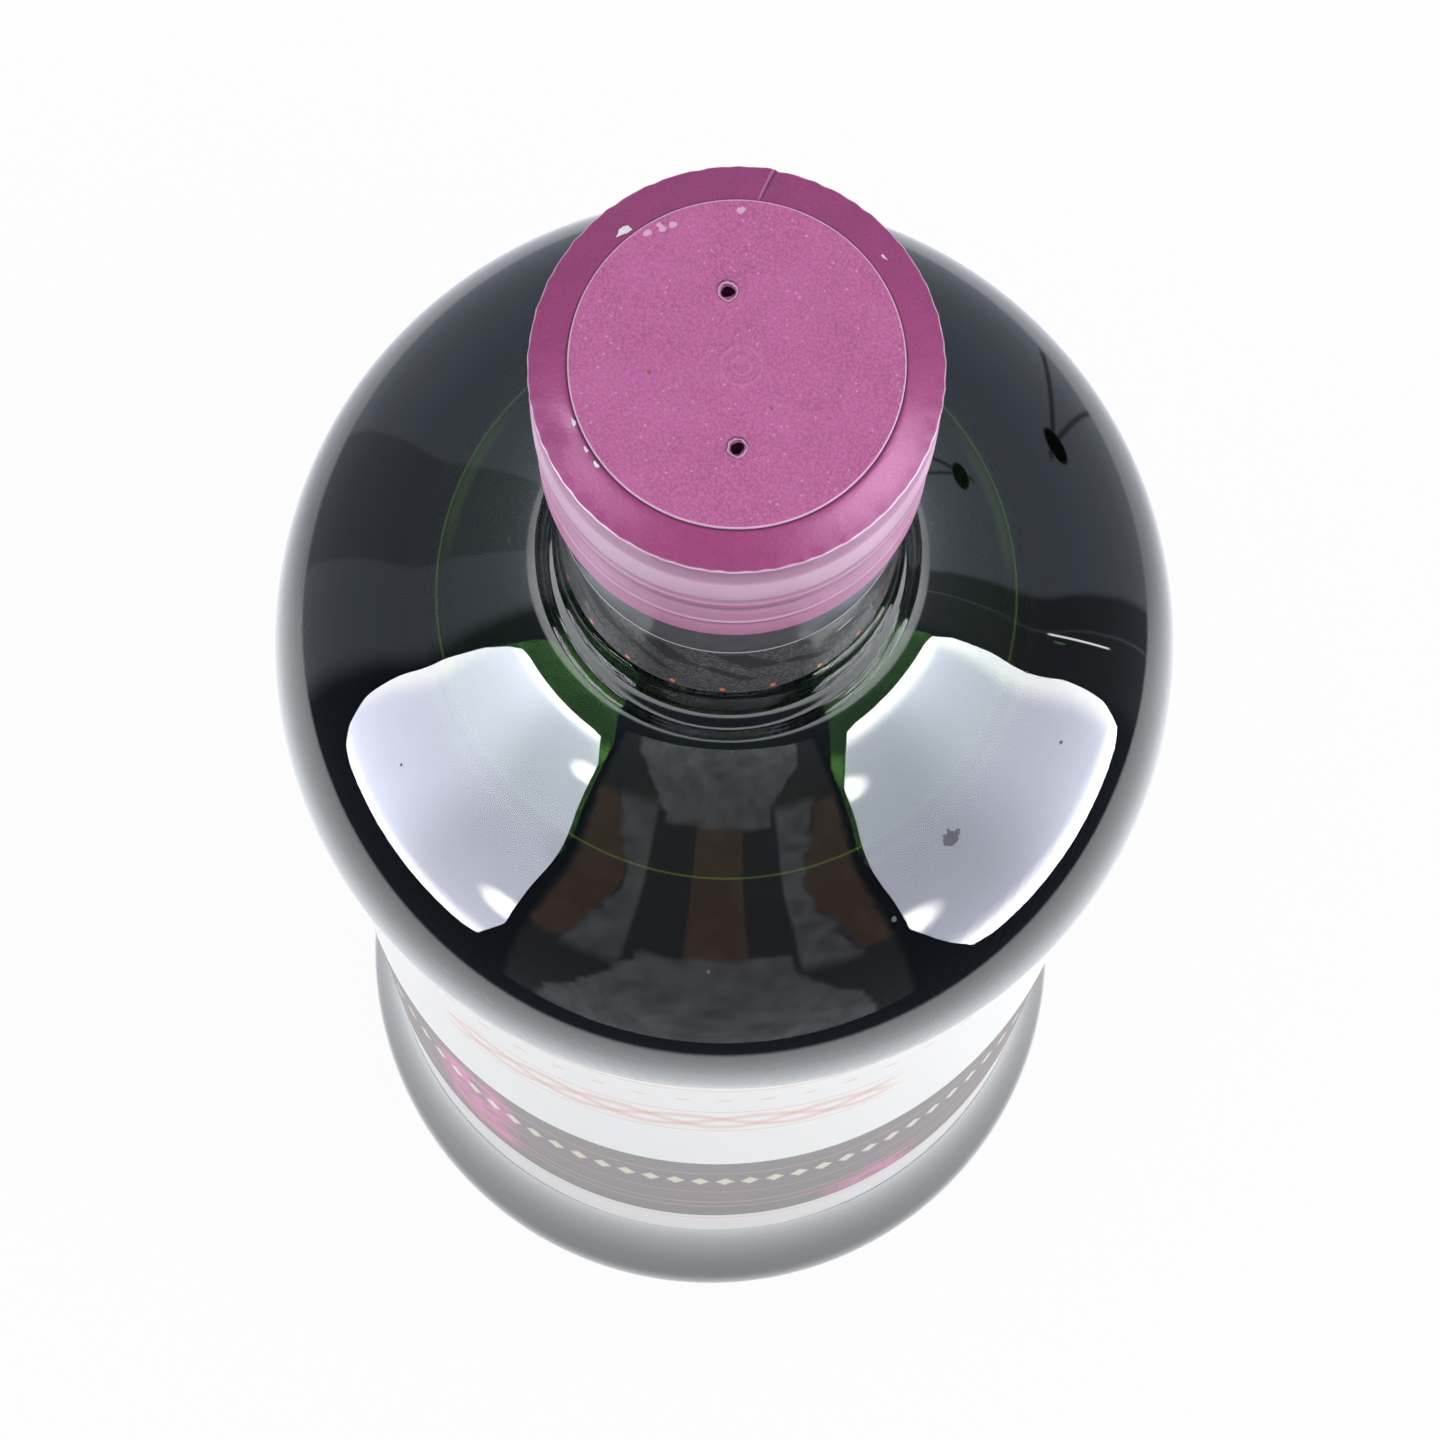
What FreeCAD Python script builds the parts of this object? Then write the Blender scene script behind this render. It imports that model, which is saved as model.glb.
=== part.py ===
"""Sealed 70 cl spirits bottle: glass, drink, heat-shrunk capsule with its top disc, and label.

Millimetres, +Z up, origin at the centre of the circle that the bottle stands on.
The label faces -Y. Every piece is a body of revolution about Z, so each is one
sketched half section and a revolution, apart from the flat disc, which is a pad.
"""
import FreeCAD, Part
import math
import os
import Sketcher

doc = FreeCAD.newDocument("spirits_bottle")

# Sizes that can be set by themselves. Heights stack upwards from the foot.
DRIVING = [
    ("punt_height", 5.0, "hollow under the base, at its middle"),
    ("foot_ring_width", 4.0, "flat ring that the bottle stands on"),
    ("heel_radius", 40.5, "widest point of the foot"),
    ("heel_round", 5.5, "rounding from the heel down to the foot ring"),
    ("flare_height", 28.0, "from the heel's widest point up to the label panel"),
    ("flare_heel_arc", 20.0, "outward-curving arc of the flare, next to the heel"),
    ("panel_bottom_radius", 37.1, "label panel, lower end"),
    ("panel_top_radius", 38.2, "label panel, upper end"),
    ("panel_length", 136.5, "label panel"),
    ("shoulder_radius", 40.5, "widest point of the shoulder"),
    ("shoulder_tuck", 14.3, "from the panel's top up to the widest point"),
    ("dome_arc", 23.5, "radius of the dome's section"),
    ("dome_angle", 65.0, "degrees that the dome turns before the throat"),
    ("neck_sweep_arc", 31.0, "gentle sweep at the neck's foot"),
    ("neck_sweep_angle", 20.0, "degrees that the sweep turns before the throat's closer arc"),
    ("neck_radius", 13.75, "neck where the sweep ends"),
    ("neck_top_radius", 13.8, "neck under the lip ring"),
    ("neck_length", 27.75, "from the sweep up to the lip ring"),
    ("lip_step", 1.0, "height of the slope into the lip ring"),
    ("lip_radius", 14.85, "lip ring"),
    ("lip_length", 10.65, "lip ring"),
    ("wall", 3.4, "glass of the body"),
    ("base_thickness", 12.0, "glass over the foot ring"),
    ("inner_corner", 9.0, "rounding inside, between floor and wall"),
    ("bore_radius", 9.8, "bore of the neck"),
    ("fill_angle", 64.6, "degrees up the inside of the dome, where the drink's surface ends"),
    ("film", 0.3, "capsule film on the neck"),
    ("bare_neck", 1.2, "neck left bare between the sweep and the capsule's lower edge"),
    ("head_radius", 15.4, "capsule above the lip"),
    ("head_height", 13.6, "capsule's rim above the lip"),
    ("lip_groove_depth", 0.15, "pinched line of the capsule at the lip"),
    ("lip_groove_width", 1.0, "the same line's height"),
    ("rim_round", 0.4, "outer rounding of the folded rim"),
    ("rim_drop", 1.15, "fall of the folded rim towards that rounding"),
    ("rim_slope_width", 2.4, "sloping part of the folded rim, inside that rounding"),
    ("disc_clearance", 0.15, "rim left bare round the disc"),
    ("disc_thickness", 0.4, "top disc"),
    ("vent_radius", 0.55, "two vent holes in the disc"),
    ("vent_front_x", 0.3, "vent hole nearer the label side"),
    ("vent_front_y", -6.4, "the same hole"),
    ("vent_back_x", -0.9, "vent hole on the far side"),
    ("vent_back_y", 5.4, "the same hole"),
    ("label_thickness", 0.25, "label paper and its adhesive"),
    ("label_bottom_margin", 2.1, "bare panel under the label"),
    ("label_top_margin", 2.0, "bare panel over the label"),
    ("label_gap_angle", 8.0, "degrees left bare at the back, where the label's ends face"),
]

# Radii and heights that follow from them.
DERIVED = [
    ("foot_outer_radius", "heel_radius - heel_round"),
    ("foot_inner_radius", "foot_outer_radius - foot_ring_width"),
    ("punt_arc", "(foot_inner_radius^2 + punt_height^2) / (2 * punt_height)"),
    ("panel_bottom_z", "heel_round + flare_height"),
    ("flare_angle", "2 * atan((heel_radius - panel_bottom_radius) / flare_height)"),
    ("flare_arcs", "flare_height / sin(flare_angle)"),
    ("flare_panel_arc", "flare_arcs - flare_heel_arc"),
    ("flare_mid_radius", "heel_radius - flare_heel_arc * (1 - cos(flare_angle))"),
    ("flare_mid_z", "heel_round + flare_heel_arc * sin(flare_angle)"),
    ("panel_top_z", "panel_bottom_z + panel_length"),
    ("shoulder_z", "panel_top_z + shoulder_tuck"),
    ("tuck_depth", "shoulder_radius - panel_top_radius"),
    ("tuck_mid_radius", "(shoulder_radius + panel_top_radius) / 2"),
    ("tuck_mid_z", "(shoulder_z + panel_top_z) / 2"),
    ("tuck_arc", "(tuck_depth^2 + shoulder_tuck^2) / (4 * tuck_depth)"),
    ("dome_centre_radius", "shoulder_radius - dome_arc"),
    ("dome_end_radius", "dome_centre_radius + dome_arc * cos(dome_angle)"),
    ("dome_end_z", "shoulder_z + dome_arc * sin(dome_angle)"),
    ("neck_sweep_radius", "neck_radius + neck_sweep_arc * (1 - cos(neck_sweep_angle))"),
    ("throat_width", "dome_end_radius - neck_sweep_radius"),
    ("throat_arc", "throat_width / (cos(neck_sweep_angle) - cos(dome_angle))"),
    ("throat_rise", "throat_arc * (sin(dome_angle) - sin(neck_sweep_angle))"),
    ("neck_sweep_z", "dome_end_z + throat_rise"),
    ("throat_end_z", "neck_sweep_z + neck_sweep_arc * sin(neck_sweep_angle)"),
    ("neck_top_z", "throat_end_z + neck_length"),
    ("lip_bottom_z", "neck_top_z + lip_step"),
    ("lip_z", "lip_bottom_z + lip_length"),
    ("corner_end_z", "base_thickness + inner_corner"),
    ("inner_panel_bottom_radius", "panel_bottom_radius - wall"),
    ("inner_floor_radius", "inner_panel_bottom_radius - inner_corner"),
    ("inner_panel_top_radius", "panel_top_radius - wall"),
    ("inner_tuck_mid_radius", "tuck_mid_radius - wall"),
    ("inner_shoulder_radius", "shoulder_radius - wall"),
    ("inner_dome_arc", "dome_arc - wall"),
    ("inner_dome_end_radius", "dome_centre_radius + inner_dome_arc * cos(dome_angle)"),
    ("inner_dome_end_z", "shoulder_z + inner_dome_arc * sin(dome_angle)"),
    ("inner_throat_arc", "(inner_dome_end_radius - bore_radius) / (1 - cos(dome_angle))"),
    ("inner_throat_end_z", "inner_dome_end_z + inner_throat_arc * sin(dome_angle)"),
    ("fill_z", "shoulder_z + inner_dome_arc * sin(fill_angle)"),
    ("fill_radius", "dome_centre_radius + inner_dome_arc * cos(fill_angle)"),
    ("rim_z", "lip_z + head_height"),
    ("skirt_z", "throat_end_z + bare_neck"),
    ("neck_slope", "(neck_top_radius - neck_radius) / neck_length"),
    ("skirt_inner_radius", "neck_radius + neck_slope * (skirt_z - throat_end_z)"),
    ("skirt_outer_radius", "skirt_inner_radius + film"),
    ("film_neck_top_radius", "neck_top_radius + film"),
    ("film_lip_radius", "lip_radius + film"),
    ("groove_bottom_z", "lip_z - lip_groove_width / 2"),
    ("groove_top_z", "lip_z + lip_groove_width / 2"),
    ("groove_radius", "film_lip_radius - lip_groove_depth"),
    ("rim_edge_radius", "head_radius - rim_round"),
    ("rim_seat_radius", "rim_edge_radius - rim_slope_width"),
    ("rim_edge_z", "rim_z - rim_drop"),
    ("head_top_z", "rim_edge_z - rim_round"),
    ("disc_radius", "rim_seat_radius - disc_clearance"),
    ("panel_slope", "(panel_top_radius - panel_bottom_radius) / panel_length"),
    ("label_bottom_z", "panel_bottom_z + label_bottom_margin"),
    ("label_top_z", "panel_top_z - label_top_margin"),
    ("label_bottom_radius", "panel_bottom_radius + panel_slope * label_bottom_margin"),
    ("label_top_radius", "panel_top_radius - panel_slope * label_top_margin"),
    ("label_bottom_outer_radius", "label_bottom_radius + label_thickness"),
    ("label_top_outer_radius", "label_top_radius + label_thickness"),
    ("label_angle", "360 - label_gap_angle"),
]

sheet = doc.addObject("Spreadsheet::Sheet", "sizes")
for row, (alias, value, meaning) in enumerate(DRIVING, start=1):
    sheet.set(f"A{row}", meaning)
    sheet.set(f"B{row}", str(value))
    sheet.setAlias(f"B{row}", alias)
for row, (alias, formula) in enumerate(DERIVED, start=len(DRIVING) + 2):
    sheet.set(f"A{row}", alias)
    sheet.set(f"B{row}", "=" + formula)
    sheet.setAlias(f"B{row}", alias)
doc.recompute()

AXIS = None      # stands for a radius or a height of zero
LEFT = 1         # an arc whose centre is to the left of the way it is drawn
RIGHT = -1       # an arc whose centre is to the right
ORIGIN = (-1, 1)
SKETCH_X_AXIS = -1
SKETCH_Y_AXIS = -2


def size(alias):
    """Value of a named size as a plain number, or zero on the axis."""
    return 0.0 if alias is AXIS else float(sheet.get(alias))


def vertex(radius, height):
    """Point of a half section, from the names of its radius and height."""
    return FreeCAD.Vector(size(radius), size(height), 0)


def arc_of(start, end, radius, side):
    """Arc between two points; Sketcher draws it anticlockwise."""
    chord = end - start
    offset = math.sqrt(max(radius ** 2 - (chord.Length / 2) ** 2, 0.0))
    normal = FreeCAD.Vector(-chord.y, chord.x, 0).normalize()
    centre = (start + end) * 0.5 + normal * (offset * side)
    first, last = (start, end) if side == LEFT else (end, start)
    angles = [math.atan2(point.y - centre.y, point.x - centre.x) for point in (first, last)]
    circle = Part.Circle(centre, FreeCAD.Vector(0, 0, 1), radius)
    return Part.ArcOfCircle(circle, angles[0], angles[1])


def origin_plane(body, role):
    """Origin plane of a body, found by its role."""
    return next(item for item in body.Origin.OriginFeatures if item.Role == role)


def new_body(label):
    """Empty body whose label names its file."""
    body = doc.addObject("PartDesign::Body", label)
    body.Label = label
    return body


def pin(sketch, edge, end, coordinate, alias):
    """Hold one coordinate of a point at a named size, or on an axis of the sketch."""
    if alias is AXIS:
        axis = SKETCH_Y_AXIS if coordinate == "DistanceX" else SKETCH_X_AXIS
        sketch.addConstraint(Sketcher.Constraint("PointOnObject", edge, end, axis))
        return
    index = sketch.addConstraint(
        Sketcher.Constraint(coordinate, *ORIGIN, edge, end, size(alias)))
    sketch.setExpression(f"Constraints[{index}]", f"sizes.{alias}")


def section_sketch(body, name, outline):
    """Closed half section in the XZ plane.

    Each entry of the outline is (radius, height) of a corner and, where the edge
    that leaves it is an arc, that arc's (radius, side).
    """
    sketch = body.newObject("Sketcher::SketchObject", name)
    sketch.AttachmentSupport = (origin_plane(body, "XZ_Plane"), [""])
    sketch.MapMode = "FlatFace"
    corners = [vertex(*entry[0]) for entry in outline]
    ends = []
    for index, entry in enumerate(outline):
        start, end = corners[index], corners[(index + 1) % len(corners)]
        if len(entry) == 1:
            edge = sketch.addGeometry(Part.LineSegment(start, end), False)
            ends.append((edge, 1, 2))
            continue
        arc_size, side = entry[1]
        edge = sketch.addGeometry(arc_of(start, end, size(arc_size), side), False)
        ends.append((edge, 1, 2) if side == LEFT else (edge, 2, 1))
        datum = sketch.addConstraint(Sketcher.Constraint("Radius", edge, size(arc_size)))
        sketch.setExpression(f"Constraints[{datum}]", f"sizes.{arc_size}")
    for index, (edge, start_end, far_end) in enumerate(ends):
        following, following_start, _ = ends[(index + 1) % len(ends)]
        sketch.addConstraint(
            Sketcher.Constraint("Coincident", edge, far_end, following, following_start))
        radius, height = outline[index][0]
        pin(sketch, edge, start_end, "DistanceX", radius)
        pin(sketch, edge, start_end, "DistanceY", height)
    return sketch


def revolved_body(label, outline, angle=None):
    """Body made by turning a half section about Z, right round or by a named angle."""
    body = new_body(label)
    sketch = section_sketch(body, label + "_section", outline)
    turn = body.newObject("PartDesign::Revolution", label + "_turn")
    turn.Profile = sketch
    turn.ReferenceAxis = (sketch, ["V_Axis"])
    turn.Angle = 360
    if angle is not None:
        turn.Midplane = True
        turn.setExpression("Angle", f"sizes.{angle}")
    sketch.Visibility = False
    return body


# Inside of the glass, from the middle of its floor up to the dome: the drink fills it.
INNER_WALL = [
    ((AXIS, "base_thickness"),),
    (("inner_floor_radius", "base_thickness"), ("inner_corner", LEFT)),
    (("inner_panel_bottom_radius", "corner_end_z"),),
    (("inner_panel_bottom_radius", "panel_bottom_z"),),
    (("inner_panel_top_radius", "panel_top_z"), ("tuck_arc", RIGHT)),
    (("inner_tuck_mid_radius", "tuck_mid_z"), ("tuck_arc", LEFT)),
    (("inner_shoulder_radius", "shoulder_z"), ("inner_dome_arc", LEFT)),
]

# Outside of the glass, from the middle of the punt to the outer edge of the lip.
OUTER_WALL = [
    ((AXIS, "punt_height"), ("punt_arc", RIGHT)),
    (("foot_inner_radius", AXIS),),
    (("foot_outer_radius", AXIS), ("heel_round", LEFT)),
    (("heel_radius", "heel_round"), ("flare_heel_arc", LEFT)),
    (("flare_mid_radius", "flare_mid_z"), ("flare_panel_arc", RIGHT)),
    (("panel_bottom_radius", "panel_bottom_z"),),
    (("panel_top_radius", "panel_top_z"), ("tuck_arc", RIGHT)),
    (("tuck_mid_radius", "tuck_mid_z"), ("tuck_arc", LEFT)),
    (("shoulder_radius", "shoulder_z"), ("dome_arc", LEFT)),
    (("dome_end_radius", "dome_end_z"), ("throat_arc", RIGHT)),
    (("neck_sweep_radius", "neck_sweep_z"), ("neck_sweep_arc", RIGHT)),
    (("neck_radius", "throat_end_z"),),
    (("neck_top_radius", "neck_top_z"),),
    (("lip_radius", "lip_bottom_z"),),
    (("lip_radius", "lip_z"),),
]


def reverse(outline):
    """The same run of corners, drawn the other way."""
    corners = [entry[0] for entry in reversed(outline)]
    arcs = [entry[1:] for entry in reversed(outline[:-1])] + [()]
    turned = [tuple((radius, -side) for radius, side in arc) for arc in arcs]
    return [(corner, *arc) for corner, arc in zip(corners, turned)]


def bottle_glass():
    """Hollow bottle: punt, flared foot, label panel, domed shoulder, throat, neck and lip."""
    bore = [
        (("bore_radius", "lip_z"),),
        (("bore_radius", "inner_throat_end_z"), ("inner_throat_arc", LEFT)),
        (("inner_dome_end_radius", "inner_dome_end_z"), ("inner_dome_arc", RIGHT)),
    ]
    return revolved_body("bottle_glass", OUTER_WALL + bore + reverse(INNER_WALL))


def whisky():
    """Drink that fills the glass up to its level on the dome."""
    surface = [
        (("fill_radius", "fill_z"),),
        ((AXIS, "fill_z"),),
    ]
    return revolved_body("whisky", INNER_WALL + surface)


def capsule():
    """Heat-shrunk capsule: film down the neck, and a closed head with a folded rim."""
    outline = [
        ((AXIS, "lip_z"),),
        (("lip_radius", "lip_z"),),
        (("lip_radius", "lip_bottom_z"),),
        (("neck_top_radius", "neck_top_z"),),
        (("skirt_inner_radius", "skirt_z"),),
        (("skirt_outer_radius", "skirt_z"),),
        (("film_neck_top_radius", "neck_top_z"),),
        (("film_lip_radius", "lip_bottom_z"),),
        (("film_lip_radius", "groove_bottom_z"),),
        (("groove_radius", "lip_z"),),
        (("head_radius", "groove_top_z"),),
        (("head_radius", "head_top_z"), ("rim_round", LEFT)),
        (("rim_edge_radius", "rim_edge_z"),),
        (("rim_seat_radius", "rim_z"),),
        ((AXIS, "rim_z"),),
    ]
    return revolved_body("capsule", outline)


def capsule_disc():
    """Thin disc that lies on the capsule's folded rim, with two vent holes."""
    body = new_body("capsule_disc")
    sketch = body.newObject("Sketcher::SketchObject", "capsule_disc_outline")
    sketch.AttachmentSupport = (origin_plane(body, "XY_Plane"), [""])
    sketch.MapMode = "FlatFace"
    sketch.setExpression("AttachmentOffset.Base.z", "sizes.rim_z")
    upward = FreeCAD.Vector(0, 0, 1)
    centre = FreeCAD.Vector(0, 0, 0)
    rim = sketch.addGeometry(Part.Circle(centre, upward, size("disc_radius")), False)
    sketch.addConstraint(Sketcher.Constraint("Coincident", rim, 3, *ORIGIN))
    circles = [(rim, "disc_radius")]
    for side in ("front", "back"):
        place_x, place_y = f"vent_{side}_x", f"vent_{side}_y"
        middle = FreeCAD.Vector(size(place_x), size(place_y), 0)
        vent = sketch.addGeometry(Part.Circle(middle, upward, size("vent_radius")), False)
        pin(sketch, vent, 3, "DistanceX", place_x)
        pin(sketch, vent, 3, "DistanceY", place_y)
        circles.append((vent, "vent_radius"))
    for circle, alias in circles:
        datum = sketch.addConstraint(Sketcher.Constraint("Radius", circle, size(alias)))
        sketch.setExpression(f"Constraints[{datum}]", f"sizes.{alias}")
    pad = body.newObject("PartDesign::Pad", "capsule_disc_pad")
    pad.Profile = sketch
    pad.setExpression("Length", "sizes.disc_thickness")
    sketch.Visibility = False
    return body


def label():
    """Paper label round the panel, its ends facing each other across a gap at the back."""
    outline = [
        (("label_bottom_radius", "label_bottom_z"),),
        (("label_bottom_outer_radius", "label_bottom_z"),),
        (("label_top_outer_radius", "label_top_z"),),
        (("label_top_radius", "label_top_z"),),
    ]
    body = revolved_body("label", outline, angle="label_angle")
    quarter_turn_to_front = FreeCAD.Rotation(FreeCAD.Vector(0, 0, 1), -90)
    body.Placement = FreeCAD.Placement(FreeCAD.Vector(0, 0, 0), quarter_turn_to_front)
    return body


def check(bodies):
    """Stop if a feature failed or a piece is not one valid solid."""
    for item in doc.Objects:
        if {"Invalid", "Error"} & set(item.State):
            raise RuntimeError(f"{item.Name} failed: {item.State}")
    for body in bodies:
        if body.Shape.isNull() or not body.Shape.isValid() or len(body.Shape.Solids) != 1:
            raise RuntimeError(f"{body.Label} is not one valid solid")


pieces = [bottle_glass(), whisky(), capsule(), capsule_disc(), label()]
doc.recompute()
check(pieces)
os.makedirs("parts", exist_ok=True)
for piece in pieces:
    piece.Shape.exportStep(f"parts/{piece.Label}.step")
    print(f"{piece.Label}: {piece.Shape.Volume / 1000:.1f} cm3")
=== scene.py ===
"""Looks of a sealed bottle of whisky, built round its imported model.

Metres, +Z up, the label faces -Y. Every turned piece is a half section swept
about Z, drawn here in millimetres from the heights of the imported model's nodes.
"""
import functools
import math

import bmesh
import bpy
from bpy.props import FloatProperty, FloatVectorProperty, PointerProperty
from mathutils import Matrix, Vector


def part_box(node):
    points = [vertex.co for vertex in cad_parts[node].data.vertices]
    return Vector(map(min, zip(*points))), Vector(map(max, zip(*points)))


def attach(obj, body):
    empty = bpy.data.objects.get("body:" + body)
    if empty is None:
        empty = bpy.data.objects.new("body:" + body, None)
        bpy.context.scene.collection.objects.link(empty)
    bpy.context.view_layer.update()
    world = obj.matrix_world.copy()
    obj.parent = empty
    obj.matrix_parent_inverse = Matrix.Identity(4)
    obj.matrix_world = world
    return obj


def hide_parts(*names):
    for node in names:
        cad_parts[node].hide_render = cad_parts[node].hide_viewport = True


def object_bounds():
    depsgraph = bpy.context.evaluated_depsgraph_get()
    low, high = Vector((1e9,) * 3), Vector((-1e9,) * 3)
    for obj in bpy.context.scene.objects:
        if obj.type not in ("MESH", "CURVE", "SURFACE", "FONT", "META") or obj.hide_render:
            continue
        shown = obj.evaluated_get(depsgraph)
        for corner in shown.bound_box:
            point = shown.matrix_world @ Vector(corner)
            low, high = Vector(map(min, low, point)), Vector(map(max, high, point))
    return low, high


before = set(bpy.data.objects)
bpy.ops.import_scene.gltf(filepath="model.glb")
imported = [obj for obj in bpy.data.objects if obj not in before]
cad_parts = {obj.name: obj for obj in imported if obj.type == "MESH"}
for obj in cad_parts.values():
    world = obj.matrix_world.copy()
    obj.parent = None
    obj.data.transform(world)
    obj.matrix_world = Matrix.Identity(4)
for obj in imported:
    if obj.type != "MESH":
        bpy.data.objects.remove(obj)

bl_info = {
    "name": "Sealed Spirits Bottle",
    "version": (1, 0, 0),
    "blender": (4, 5, 0),
    "location": "View3D > Sidebar > Bottle",
    "description": "Glass, drink, shrunk capsule, top disc and label of a sealed spirits bottle",
    "category": "Object",
}

MM = 0.001
CAD_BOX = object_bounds()

LEFT = 1     # an arc whose centre is to the left of the way it is drawn
RIGHT = -1   # an arc whose centre is to the right
ARC_STEP = math.radians(2.4)
SHARP = math.radians(35)


# ---------------------------------------------------------------- heights and outlines

def top_of(node):
    """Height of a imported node's top, in millimetres."""
    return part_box(node)[1].z / MM


def foot_of(node):
    """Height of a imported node's underside, in millimetres."""
    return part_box(node)[0].z / MM


def reach_of(node):
    """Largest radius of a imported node, in millimetres."""
    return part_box(node)[1].x / MM


RIM_Z = foot_of("capsule_disc")
DISC_Z = top_of("capsule_disc")
DISC_RADIUS = reach_of("capsule_disc")
SKIRT_Z = foot_of("capsule")
LIP_Z = top_of("bottle_glass")
FILL_Z = top_of("whisky")
FLOOR_Z = foot_of("whisky")
LABEL_FOOT_Z = foot_of("label")
LABEL_TOP_Z = top_of("label")

# Body of the bottle, all in millimetres.
WALL = 3.4
PUNT = 5.0
FOOT_IN, FOOT_OUT = 31.0, 35.0
HEEL = 5.5
WIDEST = reach_of("bottle_glass")
PANEL_FOOT_Z, PANEL_TOP_Z = 33.5, 170.0
PANEL_FOOT, PANEL_TOP = 37.1, 38.2
SHOULDER_Z = 184.3
DOME_ARC, DOME_TURN = 23.5, math.radians(65.0)
SWEEP_ARC, SWEEP_TURN = 31.0, math.radians(20.0)
DOME_FAIRING = 4.0
NECK, NECK_TOP = 13.75, 13.8
LIP = 14.85
LIP_FOOT_Z = LIP_Z - 10.65
NECK_TOP_Z = LIP_FOOT_Z - 1.0
BORE = 9.8
INNER_CORNER = 9.0
HEAD = 15.4
SEAT = 12.6
VENTS = ((0.3, -6.4), (-0.9, 5.4))
VENT_RADIUS = 0.55
LABEL_GAP = math.radians(8.0)
LABEL_THICK = 0.25
FILM = 0.3
PALE_LINE_Z = 245.6
SEAM = 171.4       # degrees round from the front to the lap of the film
SEAM_LEAN = 1.04   # degrees that the lap turns for each millimetre inwards

# Radii and turns that follow from them; FILL is the radius of the drink's surface.
DOME_CENTRE = WIDEST - DOME_ARC
FILL = DOME_CENTRE + math.sqrt((DOME_ARC - WALL) ** 2 - (FILL_Z - SHOULDER_Z) ** 2)
TUCK = WIDEST - PANEL_TOP
TUCK_RISE = SHOULDER_Z - PANEL_TOP_Z
TUCK_ARC = (TUCK ** 2 + TUCK_RISE ** 2) / (4 * TUCK)
FLARE_TURN = 2 * math.atan((WIDEST - PANEL_FOOT) / (PANEL_FOOT_Z - HEEL))
FLARE_HEEL_ARC = 20.0
FLARE_PANEL_ARC = (PANEL_FOOT_Z - HEEL) / math.sin(FLARE_TURN) - FLARE_HEEL_ARC
DOME_END = DOME_CENTRE + DOME_ARC * math.cos(DOME_TURN)
DOME_END_Z = SHOULDER_Z + DOME_ARC * math.sin(DOME_TURN)
SWEEP = NECK + SWEEP_ARC * (1 - math.cos(SWEEP_TURN))
THROAT_ARC = (DOME_END - SWEEP) / (math.cos(SWEEP_TURN) - math.cos(DOME_TURN))
SWEEP_Z = DOME_END_Z + THROAT_ARC * (math.sin(DOME_TURN) - math.sin(SWEEP_TURN))
NECK_Z = SWEEP_Z + SWEEP_ARC * math.sin(SWEEP_TURN)
BEAD, BEAD_Z, BEAD_REACH = 0.28, SWEEP_Z + 2.0, 1.5   # height, middle and half width


def swept(start, end, radius, side):
    """Points from start to end, start left out, along an arc or straight if radius is zero."""
    start, end = Vector(start), Vector(end)
    if radius == 0:
        return [tuple(end)]
    chord = end - start
    rise = math.sqrt(max(radius ** 2 - chord.length_squared / 4, 0.0))
    centre = (start + end) / 2 + Vector((-chord.y, chord.x)).normalized() * rise * side
    first, last = start - centre, end - centre
    turn = first.angle_signed(last) * -1
    steps = max(2, math.ceil(abs(turn) / ARC_STEP))
    points = []
    for step in range(1, steps + 1):
        angle = turn * step / steps
        c, s = math.cos(angle), math.sin(angle)
        points.append((centre.x + first.x * c - first.y * s,
                       centre.y + first.x * s + first.y * c))
    return points


def outline(*corners):
    """Half section through corners (radius, height) or (radius, height, arc, side).

    The arc is the one that leads up to its corner.
    """
    points = [tuple(corners[0][:2])]
    for corner in corners[1:]:
        arc, side = corner[2:] if len(corner) > 2 else (0, 0)
        points += swept(points[-1], corner[:2], arc, side)
    return points


def fair(start, start_turn, end, end_turn, steps=10):
    """Points after start along a fair curve; turns are those of its outward normals."""
    start, end = Vector(start), Vector(end)
    reach = (end - start).length
    leave, arrive = (Vector((-math.sin(turn), math.cos(turn))) * reach
                     for turn in (start_turn, end_turn))
    points = []
    for step in range(1, steps + 1):
        t = step / steps
        points.append(tuple(start * (2 * t ** 3 - 3 * t ** 2 + 1)
                            + leave * (t ** 3 - 2 * t ** 2 + t)
                            + end * (3 * t ** 2 - 2 * t ** 3) + arrive * (t ** 3 - t ** 2)))
    return points


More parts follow.
